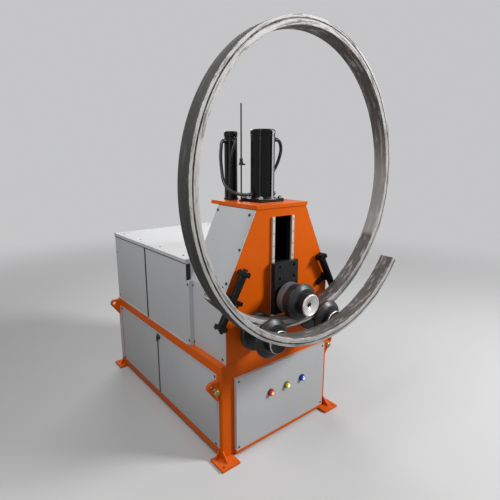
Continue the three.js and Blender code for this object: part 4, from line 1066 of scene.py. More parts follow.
HUB_STEEL = TurnedFinish(
    "hub_steel", Slot.BRIGHT, (0.85, 0.85, 0.84), (0.6, 0.6, 0.59), 0.3, 0.85, marks=0.008, wear_and_highlight=0.3,
)
SIDE_FACE = ScaleFinish(
    "section_side", (0.43, 0.423, 0.41), (0.13, 0.125, 0.118), (0.13, 0.1, 0.085), 0.6, 0.1, 0.42, 0.4,
    seams=((0.1218, 0.0062), (0.0422, 0.0062)),
)
# The outer face is much darker than the sides and inner face of the same bar: painted shade for the face
# turned away from the light, on top of its real scale patches.
OUTER_FACE = ScaleFinish(
    "section_outer_shaded", (0.075, 0.073, 0.072), (0.026, 0.025, 0.024), (0.045, 0.034, 0.028), 0.5, 0.2, 0.7, 0.3,
)
INNER_FACE = ScaleFinish(
    "section_inner", (0.4, 0.39, 0.38), (0.07, 0.066, 0.062), (0.07, 0.05, 0.04), 0.45, 0.4, 0.66, 0.6,
    band=(0.72, 1.05),
)
HOSE = RubberFinish()


@dataclass
class BaseFrame:
    """Welded lower frame with its feet and lifting lugs."""

    half: float = 400.0
    depth: float = 1320.0
    rails: Sequence[Pair] = ((486.0, 533.0), (22.0, 62.0))
    front_post: float = 36.0
    rear_post: float = 50.0
    foot_top: float = 12.0
    bead: float = 3.0
    front_lip: tuple[Point, Point] = ((-316, -19, 13), (355, 0.2, 31.7))
    lug_face: float = 13.8
    bolt_height: float = 404.0
    bolt: Pair = (32.0, 14.0)
    washer: Pair = (19.5, 2.5)

    def build(self) -> None:
        """Makes the frame, feet, lugs, welds and lug bolts."""
        Shape.copy_of("base_frame", 1.4).dress("base_frame_welded", ORANGE)
        for depth in ("front", "rear"):
            for side in Side:
                corner = f"{depth}_{side.word}"
                Shape.copy_of("foot_" + corner, 1.2).dress(f"foot_{corner}_plate", ORANGE)
                Shape.copy_of("lug_" + corner, 2.0).dress(f"lug_{corner}_eye", ORANGE)
        self.welds().dress("frame_weld_beads", ORANGE)
        Shape().box(*self.front_lip).soften(1.2).dress("base_front_lip", ORANGE)
        self.lug_bolts().soften(0.6).dress("lug_bolt_heads", ZINC)

    def welds(self) -> Shape:
        """Lays beads where posts, rails and feet meet.

        Returns:
            The beads.
        """
        beads = Shape()
        foot = self.foot_top + 1
        for sign in (-1, 1):
            x, outer = sign * (self.half - 0.5), sign * (self.half - 16)
            lines = [
                ((x, y, low + 3), (x, y, high - 3))
                for y in (self.front_post + 1.5, self.depth - self.rear_post - 1.5)
                for low, high in self.rails
            ]
            lines += [
                ((sign * (self.half - 92), 2, foot), (outer, 2, foot)),
                ((sign * (self.half - 46), self.depth - 2, foot), (outer, self.depth - 2, foot)),
                ((x, 18, foot), (x, self.front_post - 2, foot)),
                ((x, self.depth - 4, foot), (x, self.depth - 46, foot)),
            ]
            for start, end in lines:
                beads.bead(start, end, self.bead)
        return beads

    def lug_bolts(self) -> Shape:
        """Adds the hexagon heads on the front lugs.

        Returns:
            The bolt heads with washers.
        """
        heads = Shape()
        radius, thick = self.washer
        for sign in (-1, 1):
            place = at(sign * (self.half + 20), self.lug_face, self.bolt_height, FRONT)
            heads.turned(disc(radius, 0, thick), place, 24).nut(moved(place, 0, 0, thick), *self.bolt)
        return heads


@dataclass
class Head:
    """Roller head: plates, top plate, sheet covers and slide gibs."""

    slot_half: float = 60.0
    slot_low: float = 721.0
    gib_middle: float = 68.0
    gib_screw_face: float = -10.0
    gib_screws: Sequence[float] = (1232, 1168, 1104, 1040)
    gib_screw: Pair = (4.6, 2.2)
    cover_screws: Sequence[Point] = (
        (189, 33, 1268), (189, 304, 1268), (267, 12, 1107), (343, 18, 951), (354, 36, 928), (343, 300, 951),
    )
    low_screws: Sequence[Pair] = ((28, 880), (28, 700), (28, 556), (296, 880), (296, 556))
    low_x: float = 365.3
    slant: Pair = (0.8994, 0.4371)
    sheet: float = 3.4

    def build(self) -> None:
        """Makes the plates, covers, gibs and their screws."""
        # The plates' inward faces, the slot walls and the covers' inner sides get flat black: painted shade
        # for the dark inside of the head.
        Shape.copy_of("front_plate", 1.5).colour(self.in_slot).dress("head_front_plate", ORANGE, PAINTED_INNER_SHADE)
        back = Shape.copy_of("rear_plate", 1.5).colour(lambda centre, normal: normal.y < -0.5)
        back.dress("head_rear_plate", ORANGE, PAINTED_INNER_SHADE)
        Shape.copy_of("head_top_plate", 2.0).dress("head_cap_plate", ORANGE)
        screws, gib_screws = Shape(), Shape()
        for side in Side:
            sign = side.value
            sheet = Shape.copy_of("head_cover_" + side.word, 0.9)
            sheet.colour(lambda centre, normal: normal.x * sign < -0.5)
            sheet.dress(f"head_cover_{side.word}_sheet", GREY, PAINTED_INNER_SHADE)
            outward = Vector((sign * self.slant[0], 0, self.slant[1]))
            for x, y, z in self.cover_screws:
                screws.button_screw(moved(at(sign * x, y, z, outward), 0, 0, self.sheet))
            for y, z in self.low_screws:
                screws.button_screw(at(sign * self.low_x, y, z, sign * RIGHT))
        screws.dress("cover_screws", CARBON)
        for side in Side:
            Shape.copy_of("gib_" + side.word, 0.8).dress(f"gib_{side.word}_strip", CREAM)
            for z in self.gib_screws:
                place = at(side.value * self.gib_middle, self.gib_screw_face, z, FRONT)
                gib_screws.socket_screw(place, *self.gib_screw)
        gib_screws.dress("gib_screws", BLACKENED, slot=Slot.BRIGHT)

    def in_slot(self, centre: Vector, normal: Vector) -> bool:
        """Picks the front plate's back and the walls of its slot.

        Args:
            centre: the face's centre.
            normal: the face's normal.

        Returns:
            Whether the face gets the black of painted inner shade.
        """
        inside = abs(centre.x) < self.slot_half + 1 and centre.z > self.slot_low
        return normal.y > 0.5 or (inside and abs(normal.y) < 0.5)


@dataclass
class Cabinet:
    """Upper cabinet of sheet pans under a lipped lid, and the fixed lower panels."""

    half: float = 392.0
    front: float = 320.3
    split: float = 824.0
    rear: float = 1317.0
    low: float = 534.3
    high: float = 1016.7
    top: float = 1020.0
    lip: float = 1000.0
    seal: float = 2.2
    strip: float = 24.0
    strip_top: float = 905.0
    cover: float = 365.4
    post: float = 400.1
    trim: float = 1.5
    screw: float = 5.0
    lid_screw: float = 4.5
    side_rows: Pair = (30.0, 350.0)
    lid_rows: Sequence[float] = (410, 690, 970, 1240)
    back_columns: Sequence[float] = (-350, 0, 350)
    lower_back: float = 1311.0
    lower_back_rows: Pair = (80.0, 466.0)
    lower_side: float = 400.0
    lower_side_columns: Sequence[float] = (60, 688, 1250)
    lower_side_rows: Pair = (84.0, 464.0)
    panels: Sequence[str] = (
        "cabinet_panel_left_front", "cabinet_panel_left_rear", "cabinet_panel_right",
        "cabinet_panel_rear", "cabinet_lid", "side_panel_right", "rear_panel_lower",
    )

    def build(self) -> None:
        """Makes the panels, lid and screws."""
        for panel in self.panels:
            Shape.copy_of(panel, 1.0).dress(panel + "_sheet", GREY)
        self.trims()
        self.screws().dress("cabinet_screws", CARBON)

    def trims(self) -> None:
        """Makes the black strips of painted shade under the lid's lip and beside the head cover, the joint
        strip, the cover returns, the hems and the post trims.
        """
        seal, returns = Shape(), Shape()
        half, front, rear, lip = self.half, self.front, self.rear, self.lip
        for sign in (-1, 1):
            # A black strip under each side of the lid's lip: painted shade.
            seal.box((sign * (half + self.seal), front + 1, lip - 5), (sign * (half - 2), rear, lip - 0.4))
            edge, deep, post = sign * (half - 1), sign * self.cover, sign * self.post
            returns.box((edge, front - self.strip, self.low + 1), (deep, front - 0.4, self.strip_top))
            # A black sheet in the gap between the cabinet front and the head cover: painted shade.
            seal.box((edge, front - 2.4, self.strip_top + 1), (deep, front - 0.4, lip - 6))
            returns.box((post + sign * self.trim, 1271, 66), (post, 1318, 482))
        returns.box((-self.post - self.trim, 16, 66), (-self.post, 35.4, 346))
        for start, end in ((front + 3, self.split - 9), (self.split + 9, rear - 4)):
            returns.box((-half - 4, start, self.low + 0.1), (-half + 0.5, end, self.low + 5))
        seal.box((-half - 0.9, self.split - 9, self.low + 2), (-half + 0.5, self.split + 9, lip - 6))
        # A black strip under the lid's rear lip: painted shade.
        seal.box((-half, rear - 1, lip - 5), (half, rear + 1, lip - 0.4))
        returns.soften(0.7).dress("cover_returns", GREY)
        seal.soften(0.5).dress("lid_shade_strips_and_seams", SEAM_AND_SHADE)

    def screws(self) -> Shape:
        """Places the screws on the sides, lid and back.

        Returns:
            The screws.
        """
        screws = Shape()
        for sign in (-1, 1):
            outward = sign * RIGHT
            for z in self.side_rows:
                near = at(sign * (self.half - 1), self.front - self.strip / 2, self.low + z, outward)
                far = at(sign * self.half, self.rear - 20, self.low + z, outward)
                screws.button_screw(near, self.screw).button_screw(far, self.screw)
            for y in self.lid_rows:
                screws.button_screw(at(sign * (self.half - 40), y, self.top), self.lid_screw)
        for x in self.back_columns:
            for z in (self.low + 20, self.high - 45):
                screws.button_screw(at(x, self.rear, z, BACK), self.screw)
            for z in self.lower_back_rows:
                screws.button_screw(at(x * 0.94, self.lower_back, z, BACK), self.screw)
        for y in self.lower_side_columns:
            for z in self.lower_side_rows:
                screws.button_screw(at(self.lower_side, y, z, RIGHT), self.screw)
        return screws


@dataclass
class SideDoors:
    """The two hinged doors on the left side, with the latch between them."""

    face: float = -400.0
    front_pin: float = 50.0
    rear_pin: float = 1256.0
    meeting: float = 688.0
    gap: float = 2.0
    seal: float = 6.0
    seal_reach: float = 0.7
    hem_reach: float = 2.6
    hem_high: float = 11.5
    hinge: float = 10.0
    cap: float = 5.0
    low: float = 68.0
    high: float = 470.0
    latch_y: float = 666.0
    latch_z: float = 458.0

    def build(self) -> None:
        """Makes the doors, their pivot caps and the latch."""
        for name, pin, body, sign in (
            ("door_front", self.front_pin, Body.FRONT_DOOR, 1),
            ("door_rear", self.rear_pin, Body.REAR_DOOR, -1),
        ):
            Shape.copy_of(name, 1.0).dress(name + "_leaf", GREY, body=body)
            free, inside, high = self.meeting - sign * self.gap, self.face + 0.4, self.high
            near = (self.face - self.hem_reach, free, high + 6)
            far = (inside, pin - sign * self.hinge, high + self.hem_high)
            Shape().box(near, far).soften(0.6).dress(name + "_hem", GREY, body=body)
            near = (self.face - self.seal_reach, free, self.low - 1)
            far = (inside, free - sign * self.seal, high + 11)
            Shape().box(near, far).soften(0.3).dress(name + "_edge_seal", SEAM_AND_SHADE, body=body)
            caps = Shape()
            for z in (self.low + 9, high - 4):
                caps.button_screw(at(self.face, pin, z, LEFT), self.cap)
            caps.dress(name + "_pivot_caps", CARBON, body=body)
        self.latch().soften(0.8).dress("latch_handle", CARBON, body=Body.LATCH, node="door_latch")

    def latch(self) -> Shape:
        """Shapes the latch: escutcheon, knob, handle bar, spindle and cam.

        Returns:
            The latch.
        """
        face, y, z = self.face, self.latch_y, self.latch_z
        knob = [(0, 0), (16, 0), (16, 2.2), (12, 3.2), (11, 10.5), (9.5, 12), (0, 12)]
        latch = Shape().turned(knob, at(face - 0.4, y, z, LEFT), 28)
        latch.box((face - 18, y - 6, z - 23), (face - 11.5, y + 6, z + 12))
        latch.turned(disc(5, 0, 22), at(face + 20, y, z, LEFT), 16)
        return latch.box((face + 3.3, y - 10, z - 6), (face + 8.3, y + 10, z + 6))


@dataclass
class ControlPanel:
    """Shallow front panel with three lit pilot lamps."""

    face: float = -20.0
    screw_places: Sequence[Pair] = ((-301, 50), (-301, 432), (340, 50), (340, 432))
    lamp_height: float = 288.0
    heart: float = -41.3
    lamps: Sequence[tuple[float, Slot, Colour, Colour]] = (
        (-83.0, Slot.RED, (0.42, 0.02, 0.006), (1.0, 0.45, 0.2)),
        (39.0, Slot.YELLOW, (0.45, 0.4, 0.01), (1.0, 0.98, 0.45)),
        (161.0, Slot.BLUE, (0.01, 0.03, 0.42), (0.45, 0.7, 1.0)),
    )
    bezel: Sequence[Pair] = ((15.4, 0), (20, 0), (20, 5), (18, 8), (15.4, 8.6))
    lens: Sequence[Pair] = (
        (0, -19), (11, -19), (11, 0.3), (15.2, 0.3), (15.2, 14), (14.4, 17.4), (12, 20), (8, 21.4), (0, 22),
    )

    def build(self) -> None:
        """Makes the panel, its screws and the lamps, each with a bezel, a barrel and a ribbed lens."""
        Shape.copy_of("control_panel", 1.2).dress("control_panel_box", GREY)
        screws = Shape()
        for x, z in self.screw_places:
            screws.button_screw(at(x, self.face, z, FRONT), 4.5)
        screws.dress("panel_screws", CARBON)
        for x, slot, tint, glow in self.lamps:
            name = slot.name.lower()
            place = at(x, self.face - 0.3, self.lamp_height, FRONT)
            deep = dim(tint, 0.35)
            collar = PaintFinish(
                "lamp_collar_" + name, slot, deep, deep, dim(tint, 0.8), 0.3,
                wear_and_highlight=0.4, dust=0.0, specular=0.25,
            )
            Shape().turned(self.bezel, place, 40).soften(0.5).dress("lamp_bezel_" + name, collar)
            glass = LensFinish("lens_" + name, slot, tint, glow, (x, self.heart, self.lamp_height + 1))
            Shape().turned(self.lens, place, 40).dress("lamp_lens_" + name, glass, node="lamp_" + name)


@dataclass
class MainCylinder:
    """Main press cylinder with flange, cap, ports, pipe and upper hose."""

    y: float = 160.0
    plate_top: float = 1316.0
    flange_top: float = 1334.0
    barrel_top: float = 1652.0
    cap_top: float = 1686.0
    half: float = 83.0
    barrel: float = 64.0
    cap: float = 66.0
    nut_span: float = 67.0
    port_height: float = 1638.0
    low_port: float = 1354.0
    pipe: Pair = (7.45, 89.09)
    hose_foot: Pair = (42.0, 280.0)

    def build(self) -> None:
        """Makes the cylinder's pieces."""
        half, cap, base = self.half, self.cap, self.flange_top
        near, far = (-half, self.y - half, self.plate_top + 0.1), (half, self.y + half, base)
        flange = Shape().box(near, far).soften(3.0)
        wall = [(50.2, 0.2), (50.2, 318), (self.barrel, 318), (self.barrel, 9), (68.5, 5), (71, 0.2)]
        flange.turned(wall, at(0, self.y, base - 0.2), 64)
        for direction, height, reach in (
            (RIGHT, self.port_height, 33), (RIGHT, self.low_port, 29), (LEFT, self.low_port, 21),
        ):
            boss = [(0, 0), (15, 0), (15, 11), (11, 12), (11, reach), (0, reach)]
            flange.turned(boss, at(direction.x * 57, self.y, height, direction), 20)
        flange.dress("press_cylinder_barrel", BLACK, node="cylinder_barrel")
        lid = [
            (0, 0), (cap, 0), (cap, 7), (cap - 2.5, 8), (cap - 2.5, 10), (cap, 11),
            (cap, 29), (cap - 5, 34), (40, 34), (38, 32), (0, 32),
        ]
        Shape().turned(lid, at(0, self.y, self.barrel_top), 64).soften(0.8).dress(
            "press_cylinder_cap", BLACK, node="cylinder_cap",
        )
        nuts = Shape()
        for x in (-self.nut_span, self.nut_span):
            for y in (self.y - self.nut_span, self.y + self.nut_span):
                nuts.turned(disc(14, 0, 2), at(x, y, base), 24).nut(at(x, y, base + 2), 20, 9)
                nuts.rod(spot(x, y, base), spot(x, y, base + 14.5), 5, 16)
        nuts.dress("flange_nuts", BRIGHT)
        self.fittings()

    def fittings(self) -> None:
        """Makes the bright pipe, the upper hose and their couplings."""
        pipe = Shape().rod(spot(*self.pipe, self.flange_top), spot(*self.pipe, self.cap_top - 6), 5, 20)
        for height in (self.flange_top, self.cap_top - 22):
            pipe.nut(at(*self.pipe, height), 17, 11)
        pipe.dress("bypass_pipe", CHROME, node="cylinder_pipe")
        start, y, port = self.barrel + 26.3, self.y, self.port_height
        route = [
            (start, y, port), (start + 14, y, port), (start + 42, y + 4, port - 30),
            (start + 42, y + 12, port - 90), (start + 10, y + 40, port - 180), (58, y + 84, port - 240),
            (*self.hose_foot, self.plate_top + 34), (*self.hose_foot, self.plate_top + 0.3),
        ]
        Shape().tube(route, 9).dress("upper_hose_cover", HOSE, node="hose_upper")
        couplings = Shape().nut(at(self.barrel + 14, y, port, RIGHT), 24, 12)
        couplings.turned(sleeve(10.4, 17), at(start - 1, y, port, RIGHT), 20)
        couplings.nut(at(*self.hose_foot, self.plate_top), 24, 12)
        couplings.turned(sleeve(10.4, 21), at(*self.hose_foot, self.plate_top + 11), 20)
        couplings.nut(at(self.barrel + 12, y, self.low_port, RIGHT), 24, 12).dress("hose_couplings", CARBON)


@dataclass
class ReturnCylinder:
    """Slim cylinder on the rear of the head with its two hoses."""

    x: float = -75.0
    y: float = 340.0
    low: float = 1316.0
    radius: float = 36.0
    port: float = 1630.0
    main_y: float = 160.0
    low_port: float = 1354.0
    boss: Sequence[Pair] = ((0, 0), (12, 0), (12, 9), (9, 10), (9, 18), (0, 18))

    def build(self) -> None:
        """Makes the cylinder, its hoses and couplings."""
        body = [
            (0, 0.1), (40, 0.1), (40, 11), (38, 12), (self.radius, 12), (self.radius, 334), (34.5, 335),
            (34.5, 338), (37.5, 339), (37.5, 362), (34, 366), (0, 366),
        ]
        cylinder = Shape().turned(body, at(self.x, self.y, self.low), 56)
        cylinder.turned(self.boss, at(self.x - 30, self.y - 8, self.port, LEFT), 20)
        cylinder.turned(self.boss, at(self.x - 14, self.y - 30, self.port, FRONT), 20)
        cylinder.soften(0.6).dress("return_cylinder_body", BLACK, node="return_cylinder")
        self.hoses()

    def hoses(self) -> None:
        """Makes the two hoses that belong to the cylinder and their couplings."""
        side, back, port, main, low = self.x - 48.3, self.y - 8, self.port, self.main_y, self.low_port
        bend = side - 24
        run = [
            (side, back, port), (side - 10, back, port), (bend, self.y - 12, port - 34),
            (bend, self.y - 16, port - 160), (bend - 2, self.y - 40, port - 220),
            (bend - 2, self.y - 96, low + 20), (side - 10, main + 8, low + 2),
            (-98, main, low), (-78.3, main, low),
        ]
        Shape().tube(run, 9).dress("return_hose_cover", HOSE, node="hose_return")
        start, front, fall = self.x - 14, self.y - 48.3, self.x - 40
        foot = front + 4
        drain = [
            (start, front, port), (start, front - 9, port), (self.x - 30, front - 14, port - 36),
            (fall, front - 2, port - 110), (fall, foot, port - 200),
            (fall, foot, self.low + 30), (fall, foot, self.low + 0.3),
        ]
        Shape().tube(drain, 7).dress("drain_hose_cover", HOSE, node="hose_drain")
        wide, slim, ends = sleeve(10.4, 16), sleeve(8.6, 15), Shape()
        ends.turned(wide, at(side + 3, back, port, LEFT), 20).nut(at(side + 10, back, port, LEFT), 20, 8)
        ends.turned(wide, at(-78, main, low, LEFT), 20).nut(at(-72, main, low, LEFT), 22, 8)
        ends.turned(slim, at(start, front + 3, port, FRONT), 20)
        ends.nut(at(start, front + 10, port, FRONT), 18, 8)
        ends.nut(at(fall, foot, self.low), 19, 9).turned(slim, at(fall, foot, self.low + 8), 20)
        ends.dress("return_hose_couplings", CARBON)


@dataclass
class SlideAndRam:
    """The slide with its plate, the carriage, the ram rod and the stroke rod."""

    plate_front: float = -41.3
    high: float = 1019.0
    bolt_x: float = 52.0
    bolt_heights: Sequence[float] = (995.0, 934.0)
    bolt_floor: float = -27.4
    rod_x: float = -100.0
    rod_y: float = 215.0
    rod_low: float = 1008.3
    rod_high: float = 1813.0
    collar_low: float = 1505.0
    cap_plate: float = 1316.0

    def build(self) -> None:
        """Makes the slide's pieces."""
        Shape.copy_of("slide_plate", 1.4).dress("slide_face_plate", BLACKENED, body=Body.RAM)
        bolts = Shape()
        # Flat black rings round the counterbores make the bolt holes read larger and darker: painted shade.
        ring = [(11, -0.2), (15, -0.2), (15, 0.5), (11, 0.5)]
        for x in (-self.bolt_x, self.bolt_x):
            for z in self.bolt_heights:
                bolts.socket_screw(at(x, self.bolt_floor, z, FRONT), 9, 9)
                bolts.turned(ring, at(x, self.plate_front, z, FRONT), 28)
        block = Shape.copy_of("slide_carriage", 1.5)
        block.colour(lambda centre, normal: normal.z > 0.9 and centre.z > self.high - 20)
        block.dress("slide_carriage_block", BLACKENED, BRIGHT, body=Body.RAM)
        bolts.soften(0.3).dress("slide_bolts_and_hole_shade_rings", CARBON, body=Body.RAM)
        Shape.copy_of("ram_rod", 1.0).dress("ram_rod_chromed", CHROME, body=Body.RAM)
        self.stroke_rod()

    def stroke_rod(self) -> None:
        """Makes the thin stroke rod with its stop collar and pointer, and its bush."""
        x, y, low = self.rod_x, self.rod_y, self.collar_low
        collar = [(0, 0), (13, 0), (13, 3), (9, 17), (8, 34), (7, 36), (0, 36)]
        rod = Shape().rod(spot(x, y, self.rod_low), spot(x, y, self.rod_high), 4, 16)
        rod.turned(collar, at(x, y, low), 24)
        rod.box((x, y - 3, low + 0.5), (x + 26, y + 3, low + 8.5))
        rod.soften(0.5).dress("stroke_rod_with_collar", CARBON, body=Body.RAM, node="stroke_rod")
        bush = [(4.6, 0.2), (11, 0.2), (11, 5), (8, 10), (4.6, 10)]
        Shape().turned(bush, at(x, y, self.cap_plate), 24).dress("stroke_rod_bush", CARBON)


@dataclass
class Rollers:
    """The top roller and the two lower rollers with shafts, hubs and bearings."""

    top: float = 829.0
    low: float = 690.07
    spacing: float = 203.0
    face: float = 175.3
    radius: float = 99.0
    groove: float = 42.0
    bore: float = 30.3

    def build(self) -> None:
        """Makes the rollers, hubs and bearings."""
        bore = self.bore
        drum = [
            (bore, 41.7), (58, 41.7), (60, 43.5), (60, 56), (82, 56), (84, 58), (84, 98), (83.4, 98.6),
            (83.4, 101.4), (84, 102), (84, 141), (83, 142), (76, 142), (76, 147), (94, 147), (97, 149),
            (97, 157), (76, 174), (74, 175), (64, 175), (63, 174), (bore, 174),
        ]
        # The lighter band on the drum is partly polish from the section and partly painted highlight for a
        # lit flange top.
        steel = replace(ROLLER_STEEL, name="top_roller_steel", centre=(0, 0, self.top), lighter_band=(-54, -98))
        Shape().turned(drum, at(0, 0, self.top, FRONT), 72).soften(0.7).dress(
            "top_roller_turned", steel, body=Body.TOP_ROLLER, node="top_roller",
        )
        silver = replace(HUB_STEEL, name="top_hub_steel", centre=(0, 0, self.top))
        self.hub(0, self.top, 118, 44, 14.5).dress(
            "top_hub", silver, CARBON, body=Body.TOP_ROLLER, node="top_shaft",
        )
        for side, body in ((Side.LEFT, Body.LOWER_LEFT), (Side.RIGHT, Body.LOWER_RIGHT)):
            self.lower_set(side, body)

    def hub(self, x: float, z: float, rear: float, reach: float, dish: float) -> Shape:
        """Shapes a shaft with its dished clamping hub and its bolt.

        Args:
            x: its place across the machine.
            z: its height.
            rear: how far the shaft reaches behind the plate's face.
            reach: how far the hub stands in front of the roller.
            dish: the radius inside which its face is black; on the lower hubs it reaches nearly to the rim,
                as painted shade from the bent section in front.

        Returns:
            The shape, with the black faces on the second finish.
        """
        face = self.face
        front = face + reach
        profile = [
            (0, -rear), (29, -rear), (30, 1 - rear), (30, face), (55, face), (55.5, face + 1),
            (55.5, front - 9), (57, front - 8), (57, front - 3), (54.5, front), (49, front), (47, front - 2),
            (30, front - 8), (16, front - 13), (13, front - 14.5), (13, front - 24), (0, front - 24),
        ]
        shape = Shape().turned(profile, at(x, 0, z, FRONT), 64).soften(0.6)
        bolt = [(0, 0), (9, 0), (9, 9), (8, 10), (4.5, 10), (4.5, 5), (0, 5)]
        shape.turned(bolt, at(x, 24.1 - front, z, FRONT), 24)

        def blackened(place: Vector, normal: Vector) -> bool:
            """Picks the sleeve, the bore, the bolt and the face inside the dish radius, which on the lower
            hubs is painted shade.
            """
            out = math.hypot(place.x - x, place.z - z)
            return out < dish or (-place.y < front - 8.2 and out > 30.5)

        return shape.colour(blackened)

    def lower_set(self, side: Side, body: Body) -> None:
        """Makes one lower roller, its hub and its bearing.

        Args:
            side: which side of the machine.
            body: the body that turns.
        """
        word, x, radius, shoulder = side.word, side.value * self.spacing, self.radius, self.radius - 4
        groove, bore = self.groove, self.bore
        centre, place = (x, 0, self.low), at(x, 0, self.low, FRONT)
        roller = [
            (bore, 30), (shoulder, 30), (radius, 34), (radius, 52), (shoulder, 58), (groove, 58),
            (groove, 142), (shoulder, 142), (radius, 148), (radius, 158), (radius - 22, 174),
            (radius - 24, 175), (radius - 34, 175), (radius - 35, 174), (bore, 174),
        ]
        steel = replace(ROLLER_STEEL, name="lower_steel_" + word, centre=centre)
        Shape().turned(roller, place, 72).soften(0.7).dress(
            "lower_roller_turned_" + word, steel, body=body, node="lower_roller_" + word,
        )
        silver = replace(HUB_STEEL, name="lower_hub_steel_" + word, centre=centre)
        # Dish 54.2 blacks out nearly the whole face of each lower hub, the same hub that is bright on the top
        # roller: painted shade from the section in front.
        self.hub(x, self.low, 350, 36, 54.2).dress(
            "lower_hub_" + word, silver, CARBON, body=body, node="lower_shaft_" + word,
        )
        bearing = [
            (30.4, -34), (50, -34), (50, 0.3), (71, 0.3), (72, 1.5), (72, 18), (58, 26), (40, 26), (39, 24),
            (34, 24), (33, 26), (30.4, 26),
        ]
        housing = Shape().turned(bearing, place, 56).soften(0.6)
        for step in range(6):
            turn = Matrix.Rotation(math.radians(30 + 60 * step), 4, "Z")
            housing.socket_screw(moved(place @ turn, 64, 0, 19.5), 5, 4)
        housing.dress("bearing_housing_" + word, BLACK, node="bearing_" + word)


@dataclass
class BentSection:
    """The bent section: an 80 by 40 profile swept through more than one turn."""

    inner: float = 653.0
    thick: float = 40.0
    width: float = 80.0
    rear: float = 60.0
    centre: float = 1397.0
    start: float = -50.0
    end: float = 415.0
    step: float = 1.5
    growth: float = 27.5
    growth_span: Pair = (38.0, 90.0)
    drift: float = 169.0
    drift_span: Pair = (68.0, 305.0)
    groove: Pair = (23.0, 27.0)
    groove_deep: float = 3.0
    wall: float = 6.0
    corner: float = 3.2

    @staticmethod
    def ease(angle: float, span: Pair) -> float:
        """Gives how far a change has come at an angle, from 0 to 1."""
        share = min(max((angle - span[0]) / (span[1] - span[0]), 0), 1)
        return share * share * (3 - 2 * share)

    def stand(self, angle: float) -> Matrix:
        """Gives the placing that carries the bottom profile to an angle.

        Args:
            angle: the angle from the bottom, in degrees.

        Returns:
            The 4 by 4 matrix.
        """
        middle = spot(0, 0, self.centre)
        outward = Matrix.Translation((0, 0, -self.growth * self.ease(angle, self.growth_span) * MM))
        forward = Matrix.Translation((0, -self.drift * self.ease(angle, self.drift_span) * MM, 0))
        turn = Matrix.Rotation(math.radians(-angle), 4, "Y")
        return forward @ Matrix.Translation(middle) @ turn @ outward @ Matrix.Translation(-middle)

    def outlines(self) -> tuple[list[Pair], list[Pair]]:
        """Gives the corners of the profile and of its hollow.

        Returns:
            Pairs of depth below the inner face and reach across.
        """
        (low, high), width = self.groove, self.width
        near, far = self.groove_deep, width - self.groove_deep
        outer = [
            (0, 0), (low, 0), (low + 0.5, near), (high - 0.5, near), (high, 0), (self.thick, 0),
            (self.thick, width), (high, width), (high - 0.5, far), (low + 0.5, far), (low, width), (0, width),
        ]
        deep, end = self.thick - self.wall, width - self.wall
        return outer, [(self.wall, self.wall), (deep, self.wall), (deep, end), (self.wall, end)]

    def loop(self, bm: bmesh.types.BMesh, corners: Sequence[Pair]) -> list[bmesh.types.BMEdge]:
        """Draws one closed outline at the bottom of the ring, with its outermost corners rounded.

        Args:
            bm: the mesh.
            corners: the outline's corners.

        Returns:
            The outline's edges.
        """
        verts = [
            bm.verts.new(spot(0, -(self.rear + across), self.centre - self.inner - depth))
            for depth, across in corners
        ]
        face = bm.faces.new(verts)
        tips = [
            vert for vert, (depth, across) in zip(verts, corners)
            if depth in (0, self.thick) and across in (0, self.width)
        ]
        if tips:
            bmesh.ops.bevel(
                bm, geom=tips, offset=self.corner * MM, segments=3, profile=0.5,
                affect="VERTICES", material=-1, clamp_overlap=True,
            )
            face = bm.faces[:][-1] if not face.is_valid else face
        edges = list(face.edges)
        bmesh.ops.delete(bm, geom=[face], context="FACES_ONLY")
        return edges

    def build(self) -> None:
        """Sweeps the profile round, closes its ends and sorts its faces by finish."""
        shape = Shape()
        bm = shape.bm
        sweep = bm.verts.layers.float.new(SWEEP_LAYER)
        across = bm.verts.layers.float.new(ACROSS_LAYER)
        loops = [self.loop(bm, corners) for corners in self.outlines()]
        bottom = spot(0, -self.rear, self.centre - self.inner)
        for vert in bm.verts:
            vert[across] = (bottom.y - vert.co.y) + (bottom.z - vert.co.z) * 1.7
        place = self.stand(self.start)
        bmesh.ops.transform(bm, matrix=place, verts=bm.verts[:])
        first = loops[0] + loops[1]
        for number in range(1, round((self.end - self.start) / self.step) + 1):
            angle = self.start + self.step * number
            target = self.stand(angle)
            move = target @ place.inverted()
            for index, edges in enumerate(loops):
                verts, loops[index] = drawn_out(bm, edges)
                bmesh.ops.transform(bm, matrix=move, verts=verts)
                for vert in verts:
                    vert[sweep] = math.radians(angle) * self.inner * MM
            place = target
        for edges in (first, loops[0] + loops[1]):
            bmesh.ops.bridge_loops(bm, edges=edges)
        bmesh.ops.recalc_face_normals(bm, faces=bm.faces[:])
        for face in bm.faces:
            along = sum(vert[sweep] for vert in face.verts) / len(face.verts)
            turn = Matrix.Rotation(-along / (self.inner * MM), 3, "Y")
            out = face.normal.dot(turn @ -UP)
            face.material_index = 1 if out > 0.8 else (2 if out < -0.8 else 0)
            face[shape.edge_mark] = 0 if abs(out) > 0.97 or abs(out) < 0.24 else 1
        shape.dress(
            "bent_section_bar", SIDE_FACE, OUTER_FACE, INNER_FACE, body=Body.SECTION, node="bent_section",
        )


